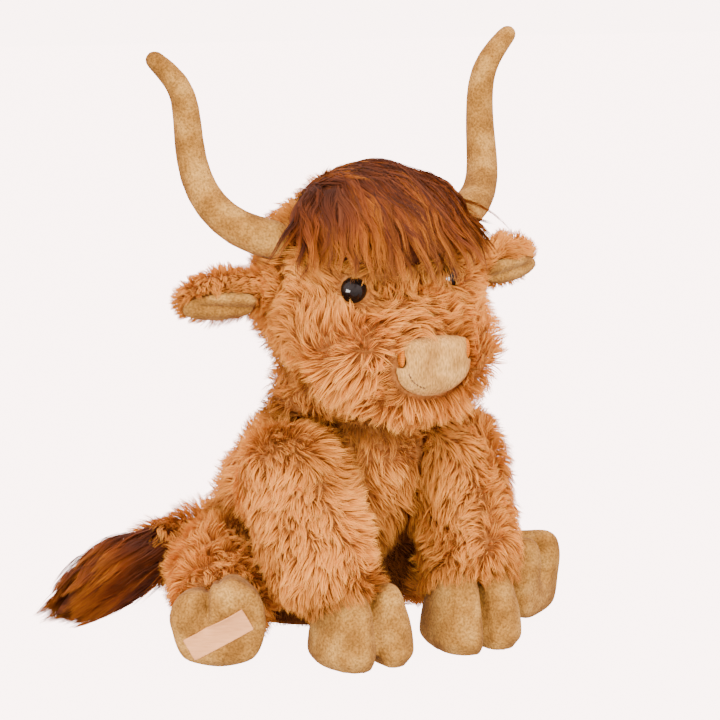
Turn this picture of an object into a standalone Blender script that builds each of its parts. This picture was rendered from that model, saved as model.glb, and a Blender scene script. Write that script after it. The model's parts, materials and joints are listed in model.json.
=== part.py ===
"""Seated plush Highland cow: stuffed body, neck, head, limbs, horns, ears and tail as separate sewn pieces.

The cow faces -Y, its left side is +X, and it sits on the plane Z = 0. All lengths are in metres.
"""

import math

import bmesh
import bpy
from mathutils import Vector

# Clearances
GAP = 0.0003
SOCKET_GAP = 0.0007
HIP_SEAT_GAP = 0.0014
FLOOR_CUT = 0.0005
OVERRUN = 0.003

# Body
BODY_HALF_WIDTH = 0.0480
BODY_HALF_DEPTH = 0.0550
BODY_HEIGHT = 0.1120
BODY_LEAN = 0.0520
BODY_SEAT_Y = 0.0120
# height, lean, width and depth of each section, as shares of the body's sizes
BODY_SECTION_SHARES = (
    (0.000, 0.00, 0.74, 0.76),
    (0.075, 0.00, 0.95, 0.94),
    (0.280, 0.04, 1.00, 1.00),
    (0.490, 0.29, 0.93, 1.09),
    (0.690, 0.58, 0.85, 1.06),
    (0.870, 0.85, 0.80, 0.80),
    (0.970, 0.94, 0.62, 0.60),
    (1.000, 0.97, 0.34, 0.34),
)

# Seat panel and the pellet bag above it
SEAT_PANEL_THICKNESS = 0.0020
SEAT_PANEL_SHARE = 0.66
BEAN_BAG_HALF_WIDTH = 0.0150
BEAN_BAG_HALF_DEPTH = 0.0240
BEAN_BAG_HEIGHT = 0.0200
# height and width of each section of the pellet bag, as shares of its sizes
BEAN_BAG_SHARES = ((0.00, 0.62), (0.18, 0.92), (0.50, 1.00), (0.82, 0.92), (1.00, 0.62))

# Neck: a collar that turns on the body, under a ball that the head nods on
NECK_BALL_RADIUS = 0.0330
NECK_Y = -0.0380
NECK_ABOVE_BODY = 0.0090
NECK_Z = BODY_HEIGHT + NECK_ABOVE_BODY
NECK_SEAT_SINK = 0.0080
NECK_SEAT_Z = BODY_HEIGHT - NECK_SEAT_SINK
NECK_COLLAR_HEIGHT = 0.0140
NECK_COLLAR_SWELL = 0.0055
# height up the collar and swell of each ring, as shares of its sizes
NECK_COLLAR_SHARES = ((0.00, -0.15), (0.22, 0.82), (0.42, 1.00), (0.70, 0.48), (1.00, 0.00))
NECK_BALL_STEPS = 9
NECK_ROOM_RADIUS = 0.0450

# Head
HEAD_BACK_Y = -0.0080
HEAD_LENGTH = 0.0980
HEAD_ABOVE_NECK = 0.0450
HEAD_CENTRE_Z = NECK_Z + HEAD_ABOVE_NECK
HEAD_HALF_WIDTH = 0.0500
HEAD_HALF_HEIGHT = 0.0440
MUZZLE_DROP = 0.0340
HEAD_UNDERSIDE_RISE = 0.0012
HEAD_ROLL = math.radians(2.5)
# distance forward, drop, width and height of each section, as shares of the head's sizes
HEAD_SECTION_SHARES = (
    (0.000, 0.05, 0.44, 0.46),
    (0.100, 0.10, 0.80, 0.82),
    (0.300, 0.13, 0.99, 1.03),
    (0.520, 0.10, 1.02, 1.03),
    (0.720, 0.56, 0.95, 0.86),
    (0.860, 1.00, 0.86, 0.63),
    (0.955, 1.02, 0.70, 0.50),
    (1.000, 1.02, 0.44, 0.32),
)

# Forelock
FORELOCK_HALF_WIDTH = 0.0400
FORELOCK_HALF_DEPTH = 0.0310
FORELOCK_HALF_HEIGHT = 0.0270
FORELOCK_Y = -0.0670
FORELOCK_RISE = 0.0240
FORELOCK_Z = HEAD_CENTRE_Z + FORELOCK_RISE

# Nose pad and nostrils
NOSE_HALF_WIDTH = 0.0185
NOSE_HALF_HEIGHT = 0.0140
NOSE_DEPTH = 0.0150
NOSE_SINK = 0.0090
NOSE_Y = HEAD_BACK_Y - HEAD_LENGTH + NOSE_SINK
NOSE_Z = HEAD_CENTRE_Z - MUZZLE_DROP
# distance forward and size of each section of the pad, as shares of its sizes
NOSE_SECTION_SHARES = ((0.00, 0.80), (0.30, 1.00), (0.62, 0.98), (0.88, 0.78), (1.00, 0.42))
NOSTRIL_HALF_WIDTH = 0.0020
NOSTRIL_HALF_HEIGHT = 0.0042
NOSTRIL_HALF_DEPTH = 0.0022
NOSTRIL_X = 0.0150
NOSTRIL_FORWARD = 0.0100
NOSTRIL_Y = NOSE_Y - NOSTRIL_FORWARD
NOSTRIL_RISE = 0.0055
NOSTRIL_Z = NOSE_Z + NOSTRIL_RISE

# Safety eyes and the washers that lock them
EYE_DIAMETER = 0.0120
EYE_DOME_HEIGHT = 0.0045
EYE_DOME_STEPS = 5
EYE_SHANK_DIAMETER = 0.0034
EYE_SHANK_LENGTH = 0.0110
EYE_SPACING = 0.0470
EYE_FORWARD_SHARE = 0.7653
EYE_Y = HEAD_BACK_Y - EYE_FORWARD_SHARE * HEAD_LENGTH
EYE_DROP = 0.0020
EYE_Z = HEAD_CENTRE_Z - EYE_DROP
EYE_TURN = math.radians(24)
EYE_ROUGHNESS = 0.05
WASHER_DIAMETER = 0.0090
WASHER_THICKNESS = 0.0014
WASHER_DEPTH = 0.0070
WASHER_ROUGHNESS = 0.4

# Horns: places of the centre line outward, forward and up
HORN_ROOT_RISE = 0.0190
HORN_ROOT = (0.0455, -0.0545, HEAD_CENTRE_Z + HORN_ROOT_RISE)
HORN_SPREAD_LEFT = 0.0490
HORN_SPREAD_RIGHT = 0.0385
HORN_SWEEP = 0.0280
HORN_RISE = 0.0780
HORN_ROOT_RADIUS = 0.0092
HORN_TIP_RADIUS = 0.0044
# outward, back, up and thickness along the horn, as shares of its sizes
HORN_POINT_SHARES = (
    (0.00, 0.00, 0.00, 1.00),
    (0.34, 0.27, 0.06, 0.87),
    (0.55, 0.60, 0.19, 0.71),
    (0.63, 0.86, 0.35, 0.60),
    (0.65, 0.95, 0.54, 0.46),
    (0.66, 0.93, 0.73, 0.40),
    (0.74, 0.90, 0.87, 0.27),
    (1.00, 0.98, 1.00, 0.04),
)
HORN_SOCKET_FLARE = math.radians(14)
HORN_SOCKET_REACH = 0.0160

# Ears
EAR_ROOT_DROP = 0.0010
EAR_ROOT = (0.0450, -0.0570, HEAD_CENTRE_Z - EAR_ROOT_DROP)
EAR_LENGTH = 0.0500
EAR_SWEEP = 0.0120
EAR_DROOP = 0.0010
EAR_HALF_HEIGHT = 0.0135
EAR_HALF_THICKNESS = 0.0075
EAR_ROOT_RADIUS = 0.0068
EAR_TILT = math.radians(32)
# distance outward, height and thickness along the ear, as shares of its sizes
EAR_SECTION_SHARES = (
    (-0.13, 0.27, 0.50),
    (0.00, 0.53, 0.95),
    (0.20, 0.66, 0.95),
    (0.38, 0.95, 1.00),
    (0.60, 1.00, 0.95),
    (0.80, 0.80, 0.80),
    (0.94, 0.46, 0.55),
)
EAR_LINING_LENGTH = 0.0330
EAR_LINING_HALF_HEIGHT = 0.0085
EAR_LINING_HALF_THICKNESS = 0.0026
EAR_LINING_START = 0.0120
EAR_LINING_DROP = 0.0010
# distance outward, height and thickness along the lining, as shares of its sizes
EAR_LINING_SHARES = (
    (0.00, 0.40, 0.70),
    (0.14, 0.76, 1.00),
    (0.45, 1.00, 1.00),
    (0.78, 0.78, 0.90),
    (1.00, 0.34, 0.60),
)
EAR_SOCKET_FLARE = math.radians(25)
EAR_SOCKET_REACH = 0.0120

# Forelegs
SHOULDER = (0.0400, -0.0560, 0.0800)
SHOULDER_RADIUS = 0.0255
FORELEG_DROP = 0.0440
FORELEG_REACH = 0.0240
FORELEG_TOE_IN = 0.0040
FORELEG_CUFF_RADIUS = 0.0240
FORELEG_CUFF_ROUNDING = 0.40
FORELEG_INNER_X = 0.0200
FORELEG_SLICE_RADIUS = 0.0500
FORELEG_RAISE = math.radians(25)

# Hooves
HOOF_WIDTH = 0.0445
HOOF_LENGTH = 0.0450
HOOF_HEIGHT = 0.0380
HOOF_ROUND_SHARE = 0.80
HOOF_TOP_SHARE = 0.78
HOOF_CLEFT_SHARE = 0.42
HOOF_CLEFT_WIDTH_SHARE = 0.30
HOOF_CLEFT_DIP_SHARE = 0.35
HOOF_SOLE_CROWN = 0.0020
HOOF_SOLE_CUT = 0.0040
FORE_HOOF_LEFT_X = 0.0350
FORE_HOOF_RIGHT_X = 0.0225
FORE_HOOF_Y = -0.0820
FORE_HOOF_TURN = math.radians(4)

# Hind legs
HIP_RADIUS = 0.0265
HIP = (0.0420, 0.0040, HIP_RADIUS - FLOOR_CUT)
HIND_LEG_OUT = 0.0280
HIND_LEG_FORWARD = 0.0490
HIND_LEG_DROP = 0.0030
HIND_CUFF_RADIUS = 0.0205
HIND_CUFF_ROUNDING = 0.35
HIND_HOOF_WIDTH = 0.0430
HIND_HOOF_LENGTH = 0.0430
HIND_HOOF_HEIGHT = 0.0300
HIND_SOLE_REACH = 0.0265
HIND_SOLE_Z = 0.0210
SOLE_PATCH_LENGTH = 0.0290
SOLE_PATCH_WIDTH = 0.0105
SOLE_PATCH_THICKNESS = 0.0008
SOLE_PATCH_TURN = math.radians(29)
SOLE_PATCH_DROP = 0.0040
SOLE_PATCH_SEAT = 0.0010

# Tail and its tuft
TAIL_ROOT = (-0.0040, 0.0590, 0.0260)
TAIL_RADIUS = 0.0105
TAIL_END_ROUNDING = 0.60
TAIL_OUT = 0.0400
TAIL_BACK = 0.0130
TAIL_DROP = 0.0060
TAIL_POINT_SHARES = (
    (0.00, 0.00, 0.00, 1.00),
    (0.28, 0.80, 0.00, 1.00),
    (0.65, 1.00, 0.40, 1.06),
    (1.00, 0.85, 1.00, 1.12),
)
TUFT_LENGTH = 0.0700
TUFT_FORWARD = 0.0320
TUFT_RADIUS = 0.0140
TUFT_TIP_Z = 0.0042
# distance outward, forward, drop and thickness along the tuft, as shares of its sizes
TUFT_POINT_SHARES = (
    (0.00, 0.00, 0.00, 0.84),
    (0.25, 0.18, 0.22, 1.00),
    (0.55, 0.48, 0.55, 0.94),
    (0.80, 0.75, 0.82, 0.64),
    (1.00, 1.00, 1.00, 0.26),
)
TAIL_SOCKET_FLARE = math.radians(8)
TAIL_SOCKET_REACH = 0.0300

# Cage and cutter resolution
BODY_SIDES = 14
HEAD_SIDES = 14
LIMB_SIDES = 10
SMALL_SIDES = 8
TURNED_STEPS = 20
SOCKET_STEPS = 16
PATH_STEPS = 12
FORM_LEVELS = 1
# distance from the last centre and width of the rings that round off an end, as shares of the end's radius
END_RING_SHARES = ((0.55, 0.86), (0.93, 0.40))

# Colours and finish
FABRIC_ROUGHNESS = 0.9
GOLDEN_FUR = (0.60, 0.31, 0.11)
RUST_HAIR = (0.30, 0.09, 0.02)
BEIGE_VELOUR = (0.52, 0.35, 0.18)
PALE_VELOUR = (0.64, 0.46, 0.26)
RUST_THREAD = (0.55, 0.20, 0.05)
BLACK_GLOSS = (0.010, 0.008, 0.007)
CLEAR_WHITE = (0.75, 0.75, 0.72)
PATCH_CREAM = (0.66, 0.44, 0.30)

PART_COLLECTION = "plush_cow"
CUTTER_COLLECTION = "cutters"
# the cow's left side lies towards +X
SIDES = (("left", 1), ("right", -1))


def clear_scene():
    for existing in list(bpy.data.objects):
        bpy.data.objects.remove(existing, do_unlink=True)


def new_collection(name):
    collection = bpy.data.collections.new(name)
    bpy.context.scene.collection.children.link(collection)
    return collection


def finish_material(name, colour, roughness):
    material = bpy.data.materials.new(name)
    material.use_nodes = True
    shader = material.node_tree.nodes["Principled BSDF"]
    shader.inputs["Base Color"].default_value = (*colour, 1)
    shader.inputs["Roughness"].default_value = roughness
    shader.inputs["Metallic"].default_value = 0
    material.diffuse_color = (*colour, 1)
    return material


def place(point, side=1):
    return Vector((point[0] * side, point[1], point[2]))


class Builder:
    """Makes the named pieces, their cutters and the pivots that moving pieces hang on."""

    def __init__(self):
        self.pieces = new_collection(PART_COLLECTION)
        self.cutters = new_collection(CUTTER_COLLECTION)
        self.carrier = None

    def object_from(self, bm, name, collection):
        bmesh.ops.recalc_face_normals(bm, faces=bm.faces)
        mesh = bpy.data.meshes.new(name)
        bm.to_mesh(mesh)
        bm.free()
        made = bpy.data.objects.new(name, mesh)
        collection.objects.link(made)
        self.hang(made, self.carrier)
        return made

    def piece(self, bm, name, colour, roughness=FABRIC_ROUGHNESS, levels=FORM_LEVELS):
        made = self.object_from(bm, name, self.pieces)
        made.data.materials.append(finish_material(name, colour, roughness))
        if levels:
            self.subdivide(made, levels)
        made.data.shade_smooth()
        return made

    def cutter(self, bm, name, levels=0):
        made = self.object_from(bm, name, self.cutters)
        made.hide_render = True
        made.display_type = "WIRE"
        if levels:
            self.subdivide(made, levels)
        return made

    def subdivide(self, target, levels):
        modifier = target.modifiers.new("rounding", "SUBSURF")
        modifier.levels = levels
        modifier.render_levels = levels
        target.modifiers.new("flat faces", "TRIANGULATE")

    def cut(self, target, cutter):
        modifier = target.modifiers.new("cut " + cutter.name, "BOOLEAN")
        modifier.operation = "DIFFERENCE"
        modifier.solver = "EXACT"
        modifier.object = cutter

    def pivot(self, name, at):
        """An empty on a joint's axis, which hangs on the carrier that is set."""
        empty = bpy.data.objects.new(name, None)
        empty.empty_display_size = SHOULDER_RADIUS
        self.pieces.objects.link(empty)
        empty.location = at
        self.hang(empty, self.carrier)
        return empty

    def hang(self, child, parent):
        if parent is None:
            return
        bpy.context.view_layer.update()
        child.parent = parent
        child.matrix_parent_inverse = parent.matrix_world.inverted()


def ring_swell(sides):
    """How far a ring of the cage stands outside the smoothed surface that it makes."""
    return 8 / (6 + 2 * math.cos(math.tau / sides))


def loft(sections, sides):
    """A closed cage through sections, each a centre and two half-axis vectors."""
    bm = bmesh.new()
    swell = ring_swell(sides)
    rings = []
    for centre, across, up in sections:
        ring = []
        for k in range(sides):
            angle = math.tau * (k + 0.5) / sides
            offset = across * math.cos(angle) + up * math.sin(angle)
            ring.append(bm.verts.new(centre + offset * swell))
        rings.append(ring)
    for low, high in zip(rings, rings[1:]):
        for k in range(sides):
            after = (k + 1) % sides
            bm.faces.new((low[k], low[after], high[after], high[k]))
    bm.faces.new(rings[0])
    bm.faces.new(rings[-1])
    return bm


def swept_sections(points, radii, broad, end_rounding=1, grow=0):
    """Round sections square to a path, closed by rounded ends; broad is the way that the first corner faces."""
    tangents = []
    for k in range(len(points)):
        before = points[max(k - 1, 0)]
        after = points[min(k + 1, len(points) - 1)]
        tangents.append((after - before).normalized())
    stations = []
    first_radius = radii[0] + grow
    for away, width in reversed(END_RING_SHARES):
        stations.append((points[0] - tangents[0] * first_radius * away, first_radius * width, tangents[0]))
    for point, radius, tangent in zip(points, radii, tangents):
        stations.append((point, radius + grow, tangent))
    for away, width in END_RING_SHARES:
        reach = tangents[-1] * (radii[-1] * end_rounding + grow) * away
        stations.append((points[-1] + reach, (radii[-1] + grow) * width, tangents[-1]))
    sections = []
    for centre, radius, tangent in stations:
        across = (broad - tangent * broad.dot(tangent)).normalized()
        up = tangent.cross(across)
        sections.append((centre, across * radius, up * radius))
    return sections


def ball(centre, radius, steps=TURNED_STEPS):
    bm = bmesh.new()
    bmesh.ops.create_uvsphere(bm, u_segments=steps, v_segments=steps // 2, radius=radius)
    bmesh.ops.translate(bm, verts=bm.verts, vec=centre)
    return bm


def cone_along(start, direction, length, start_radius, end_radius, steps=TURNED_STEPS):
    bm = bmesh.new()
    bmesh.ops.create_cone(
        bm,
        cap_ends=True,
        segments=steps,
        radius1=start_radius,
        radius2=end_radius,
        depth=length,
    )
    bmesh.ops.translate(bm, verts=bm.verts, vec=(0, 0, length / 2))
    turn = Vector((0, 0, 1)).rotation_difference(direction).to_matrix()
    bmesh.ops.rotate(bm, cent=(0, 0, 0), matrix=turn, verts=bm.verts)
    bmesh.ops.translate(bm, verts=bm.verts, vec=start)
    return bm


def box_between(low, high):
    bm = bmesh.new()
    bmesh.ops.create_cube(bm, size=1)
    size = high - low
    bmesh.ops.scale(bm, vec=size, verts=bm.verts)
    bmesh.ops.translate(bm, verts=bm.verts, vec=(low + high) / 2)
    return bm


def prism(outline, low_x, high_x):
    """A flat outline of (y, z) points, thickened along X."""
    bm = bmesh.new()
    corners = [bm.verts.new((low_x, y, z)) for y, z in outline]
    face = bm.faces.new(corners)
    grown = bmesh.ops.extrude_face_region(bm, geom=[face])
    moved = [item for item in grown["geom"] if isinstance(item, bmesh.types.BMVert)]
    bmesh.ops.translate(bm, verts=moved, vec=(high_x - low_x, 0, 0))
    return bm


def turned(profile, start, direction, steps=TURNED_STEPS):
    """A profile of (radius, distance) points turned about an axis that starts at start."""
    bm = bmesh.new()
    corners = [bm.verts.new((radius, 0, distance)) for radius, distance in profile]
    edges = [bm.edges.new(pair) for pair in zip(corners, corners[1:])]
    bmesh.ops.spin(
        bm,
        geom=corners + edges,
        cent=(0, 0, 0),
        axis=(0, 0, 1),
        angle=math.tau,
        steps=steps,
        use_merge=True,
    )
    bmesh.ops.remove_doubles(bm, verts=bm.verts, dist=GAP / 10)
    turn = Vector((0, 0, 1)).rotation_difference(direction).to_matrix()
    bmesh.ops.rotate(bm, cent=(0, 0, 0), matrix=turn, verts=bm.verts)
    bmesh.ops.translate(bm, verts=bm.verts, vec=start)
    return bm


def cushion(centre, half_sizes, grow=0):
    """A crowned pad: a cube cage that smoothing turns into a soft block."""
    bm = bmesh.new()
    bmesh.ops.create_cube(bm, size=2)
    bmesh.ops.subdivide_edges(bm, edges=bm.edges, cuts=1, use_grid_fill=True)
    for vert in bm.verts:
        vert.co = Vector((vert.co[k] * (half_sizes[k] + grow) for k in range(3)))
    bmesh.ops.translate(bm, verts=bm.verts, vec=centre)
    return bm


def body_sections():
    sections = []
    for height, lean, width, depth in BODY_SECTION_SHARES:
        centre = Vector((0, BODY_SEAT_Y - lean * BODY_LEAN, height * BODY_HEIGHT))
        across = Vector((width * BODY_HALF_WIDTH, 0, 0))
        sections.append((centre, across, Vector((0, depth * BODY_HALF_DEPTH, 0))))
    return sections


def head_sections(grow=0):
    sections = []
    last = len(HEAD_SECTION_SHARES) - 1
    for k, (forward, drop, width, height) in enumerate(HEAD_SECTION_SHARES):
        stretch = grow * (2 * k / last - 1)
        y = HEAD_BACK_Y - forward * HEAD_LENGTH - stretch
        centre = Vector((0, y, HEAD_CENTRE_Z - drop * MUZZLE_DROP))
        across = Vector((width * HEAD_HALF_WIDTH + grow, 0, 0))
        sections.append((centre, across, Vector((0, 0, height * HEAD_HALF_HEIGHT + grow))))
    return sections


def floor_slab():
    """Everything below the floor."""
    reach = 4 * BODY_HEIGHT
    return box_between(Vector((-reach, -reach, -reach)), Vector((reach, reach, 0)))


def column(centre, half_width, half_depth, low_z, high_z):
    """An upright elliptical block."""
    bm = cone_along(Vector((0, 0, low_z)), Vector((0, 0, 1)), high_z - low_z, 1, 1)
    bmesh.ops.scale(bm, vec=(half_width, half_depth, 1), verts=bm.verts)
    bmesh.ops.translate(bm, verts=bm.verts, vec=(centre.x, centre.y, 0))
    return bm


def make_body(build):
    body = build.piece(loft(body_sections(), BODY_SIDES), "body", GOLDEN_FUR)
    underside = SEAT_PANEL_THICKNESS + GAP
    reach = 4 * BODY_HEIGHT
    low_slab = box_between(Vector((-reach, -reach, -reach)), Vector((reach, reach, underside)))
    build.cut(body, build.cutter(low_slab, "underside_cutter"))
    high_slab = box_between(Vector((-reach, -reach, NECK_SEAT_Z - GAP)), Vector((reach, reach, reach)))
    build.cut(body, build.cutter(high_slab, "neck_seat_cutter"))
    return body


def make_seat(build, body):
    """The panel sewn under the seat, and the pellet bag in the pocket that it closes."""
    centre = Vector((0, BODY_SEAT_Y, 0))
    half_width = SEAT_PANEL_SHARE * BODY_HALF_WIDTH
    half_depth = SEAT_PANEL_SHARE * BODY_HALF_DEPTH
    panel = column(centre, half_width, half_depth, 0, SEAT_PANEL_THICKNESS)
    build.piece(panel, "seat_panel", GOLDEN_FUR, levels=0)

    low_z = SEAT_PANEL_THICKNESS + GAP
    sections = []
    for rise, width in BEAN_BAG_SHARES:
        middle = centre + Vector((0, 0, low_z + rise * BEAN_BAG_HEIGHT))
        across = Vector((width * BEAN_BAG_HALF_WIDTH, 0, 0))
        sections.append((middle, across, Vector((0, width * BEAN_BAG_HALF_DEPTH, 0))))
    build.piece(loft(sections, LIMB_SIDES), "seat_bean_bag", CLEAR_WHITE)

    pocket_top = low_z + BEAN_BAG_HEIGHT + GAP
    pocket = column(
        centre,
        BEAN_BAG_HALF_WIDTH + OVERRUN,
        BEAN_BAG_HALF_DEPTH + OVERRUN,
        -OVERRUN,
        pocket_top,
    )
    build.cut(body, build.cutter(pocket, "seat_pocket_cutter"))


def neck_profile():
    """Radius and height of the neck's outline, from the middle of its seat to the top of its ball."""
    collar_top = NECK_SEAT_Z + NECK_COLLAR_HEIGHT
    ball_low = math.asin((collar_top - NECK_Z) / NECK_BALL_RADIUS)
    collar_radius = NECK_BALL_RADIUS * math.cos(ball_low)
    profile = [(0, NECK_SEAT_Z)]
    for rise, swell in NECK_COLLAR_SHARES:
        profile.append((collar_radius + swell * NECK_COLLAR_SWELL, NECK_SEAT_Z + rise * NECK_COLLAR_HEIGHT))
    for k in range(1, NECK_BALL_STEPS + 1):
        angle = ball_low + (math.pi / 2 - ball_low) * k / NECK_BALL_STEPS
        radius = NECK_BALL_RADIUS * math.cos(angle) if k < NECK_BALL_STEPS else 0
        profile.append((radius, NECK_Z + NECK_BALL_RADIUS * math.sin(angle)))
    return profile


def make_neck(build):
    start = Vector((0, NECK_Y, 0))
    build.piece(turned(neck_profile(), start, Vector((0, 0, 1))), "neck", GOLDEN_FUR, levels=0)
    low = Vector((0, NECK_Y, NECK_SEAT_Z - NECK_COLLAR_HEIGHT))
    high_z = NECK_Z + HEAD_UNDERSIDE_RISE
    room = cone_along(low, Vector((0, 0, 1)), high_z - low.z, NECK_ROOM_RADIUS, NECK_ROOM_RADIUS)
    return build.cutter(room, "neck_room")


def make_head(build, neck_room):
    head = build.piece(loft(head_sections(), HEAD_SIDES), "head", GOLDEN_FUR)
    socket = ball(Vector((0, NECK_Y, NECK_Z)), NECK_BALL_RADIUS + SOCKET_GAP)
    build.cut(head, build.cutter(socket, "neck_socket_cutter"))
    build.cut(head, neck_room)
    return head


def make_forelock(build, head_room):
    """The long-haired patch over the crown and forehead."""
    bm = ball(Vector((0, 0, 0)), 1)
    bmesh.ops.scale(bm, vec=(FORELOCK_HALF_WIDTH, FORELOCK_HALF_DEPTH, FORELOCK_HALF_HEIGHT), verts=bm.verts)
    bmesh.ops.translate(bm, vec=(0, FORELOCK_Y, FORELOCK_Z), verts=bm.verts)
    forelock = build.piece(bm, "forelock", RUST_HAIR, levels=0)
    build.cut(forelock, head_room)


def make_nose(build, head_room):
    """The velour pad on the muzzle and the two sewn nostrils in its upper corners."""
    sections = []
    for forward, size in NOSE_SECTION_SHARES:
        centre = Vector((0, NOSE_Y - forward * NOSE_DEPTH, NOSE_Z))
        across = Vector((size * NOSE_HALF_WIDTH, 0, 0))
        sections.append((centre, across, Vector((0, 0, size * NOSE_HALF_HEIGHT))))
    pad = build.piece(loft(sections, HEAD_SIDES), "nose_pad", PALE_VELOUR)
    build.cut(pad, head_room)

    half_sizes = (NOSTRIL_HALF_WIDTH, NOSTRIL_HALF_DEPTH, NOSTRIL_HALF_HEIGHT)
    for name, side in SIDES:
        centre = place((NOSTRIL_X, NOSTRIL_Y, NOSTRIL_Z), side)
        nostril = build.piece(cushion(centre, half_sizes), "nostril_" + name, RUST_THREAD)
        build.cut(nostril, head_room)
        room = build.cutter(cushion(centre, half_sizes, GAP), "nostril_room_" + name, levels=FORM_LEVELS)
        build.cut(pad, room)


def eye_outline():
    radius = EYE_DIAMETER / 2
    shank = EYE_SHANK_DIAMETER / 2
    outline = []
    for k in range(EYE_DOME_STEPS + 1):
        angle = math.pi / 2 * (1 - k / EYE_DOME_STEPS)
        reach = radius * math.cos(angle) if k else 0
        outline.append((reach, -EYE_DOME_HEIGHT * math.sin(angle)))
    return outline + [(shank, 0), (shank, EYE_SHANK_LENGTH), (0, EYE_SHANK_LENGTH)]


def eye_room_outline():
    """The hole in the head for an eye: a seat for the dome, a bore for the shank, a hollow for the washer."""
    dome = EYE_DIAMETER / 2 + GAP
    shank = EYE_SHANK_DIAMETER / 2 + GAP
    washer = WASHER_DIAMETER / 2 + GAP
    washer_low = WASHER_DEPTH - GAP
    washer_high = WASHER_DEPTH + WASHER_THICKNESS + GAP
    end = EYE_SHANK_LENGTH + GAP
    return [
        (0, -EYE_DIAMETER),
        (dome, -EYE_DIAMETER),
        (dome, GAP),
        (shank, GAP),
        (shank, washer_low),
        (washer, washer_low),
        (washer, washer_high),
        (shank, washer_high),
        (shank, end),
        (0, end),
    ]


def make_eyes(build, head):
    for name, side in SIDES:
        seat = place((EYE_SPACING / 2, EYE_Y, EYE_Z), side)
        inward = Vector((-side * math.sin(EYE_TURN), math.cos(EYE_TURN), 0))
        dome = turned(eye_outline(), seat, inward, SOCKET_STEPS)
        build.piece(dome, "eye_" + name, BLACK_GLOSS, EYE_ROUGHNESS, levels=0)

        inner = EYE_SHANK_DIAMETER / 2 + GAP
        outer = WASHER_DIAMETER / 2
        far = WASHER_DEPTH + WASHER_THICKNESS
        corners = [(inner, WASHER_DEPTH), (outer, WASHER_DEPTH), (outer, far), (inner, far)]
        ring = turned(corners + corners[:1], seat, inward, SOCKET_STEPS)
        build.piece(ring, "eye_washer_" + name, CLEAR_WHITE, WASHER_ROUGHNESS, levels=0)
        room = build.cutter(turned(eye_room_outline(), seat, inward, SOCKET_STEPS), "eye_room_" + name)
        build.cut(head, room)


def make_horns(build, head):
    spreads = {"left": HORN_SPREAD_LEFT, "right": HORN_SPREAD_RIGHT}
    for name, side in SIDES:
        spread = spreads[name]
        root = place(HORN_ROOT, side)
        points = []
        radii = []
        for out, back, up, size in HORN_POINT_SHARES:
            points.append(root + place((out * spread, back * HORN_SWEEP, up * HORN_RISE), side))
            radii.append(HORN_TIP_RADIUS + size * (HORN_ROOT_RADIUS - HORN_TIP_RADIUS))
        sections = swept_sections(points, radii, Vector((0, 1, 0)))
        horn = build.piece(loft(sections, SMALL_SIDES), "horn_" + name, BEIGE_VELOUR)
        build.hang(horn, build.pivot("horn_pivot_" + name, root))
        seam = (HORN_ROOT_RADIUS, HORN_SOCKET_FLARE, HORN_SOCKET_REACH)
        cut_socket(build, head, horn.name, root, points[1] - root, seam)


def cut_socket(build, target, name, centre, direction, seam):
    """A round seat for a sewn root, opening outward so that what is sewn there can tilt."""
    radius, flare, reach = seam
    width = radius + SOCKET_GAP
    build.cut(target, build.cutter(ball(centre, width, SOCKET_STEPS), name + "_seat_cutter"))
    far_width = width + reach * math.tan(flare)
    mouth = cone_along(centre, direction.normalized(), reach, width, far_width, SOCKET_STEPS)
    build.cut(target, build.cutter(mouth, name + "_mouth_cutter"))


def ear_axes(side):
    """Along the ear, across its broad face towards its top edge, and out of its lined face."""
    along = place((EAR_LENGTH, EAR_SWEEP, -EAR_DROOP), side).normalized()
    top = Vector((0, -math.sin(EAR_TILT), math.cos(EAR_TILT)))
    top = (top - along * top.dot(along)).normalized()
    face = along.cross(top) * side
    return along, top, face


def lining_sections(start, along, top, grow=0):
    sections = []
    last = len(EAR_LINING_SHARES) - 1
    face = along.cross(top)
    for k, (out, height, thickness) in enumerate(EAR_LINING_SHARES):
        stretch = grow * (2 * k / last - 1)
        centre = start + along * (out * EAR_LINING_LENGTH + stretch)
        across = top * (height * EAR_LINING_HALF_HEIGHT + grow)
        sections.append((centre, across, face * (thickness * EAR_LINING_HALF_THICKNESS + grow)))
    return sections


def make_ears(build, head):
    for name, side in SIDES:
        root = place(EAR_ROOT, side)
        along, top, face = ear_axes(side)
        sections = []
        for out, height, thickness in EAR_SECTION_SHARES:
            centre = root + along * (out * EAR_LENGTH)
            sections.append((centre, top * (height * EAR_HALF_HEIGHT), face * (thickness * EAR_HALF_THICKNESS)))
        ear = build.piece(loft(sections, LIMB_SIDES), "ear_" + name, GOLDEN_FUR)
        pivot = build.pivot("ear_pivot_" + name, root)
        build.hang(ear, pivot)

        start = root + along * EAR_LINING_START + face * EAR_HALF_THICKNESS - top * EAR_LINING_DROP
        cage = loft(lining_sections(start, along, top), SMALL_SIDES)
        lining = build.piece(cage, "ear_lining_" + name, BEIGE_VELOUR)
        build.hang(lining, pivot)
        room = loft(lining_sections(start, along, top, GAP), SMALL_SIDES)
        build.cut(ear, build.cutter(room, "ear_lining_room_" + name, levels=FORM_LEVELS))
        cut_socket(build, head, ear.name, root, along, (EAR_ROOT_RADIUS, EAR_SOCKET_FLARE, EAR_SOCKET_REACH))


def foreleg_direction():
    return Vector((-FORELEG_TOE_IN, -FORELEG_REACH, -FORELEG_DROP))


def foreleg_sections(side, grow=0):
    shoulder = place(SHOULDER, side)
    leg = place(foreleg_direction(), side)
    points = [shoulder, shoulder + leg / 2, shoulder + leg]
    radii = [SHOULDER_RADIUS, (SHOULDER_RADIUS + FORELEG_CUFF_RADIUS) / 2, FORELEG_CUFF_RADIUS]
    return swept_sections(points, radii, Vector((1, 0, 0)), FORELEG_CUFF_ROUNDING, grow)


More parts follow.
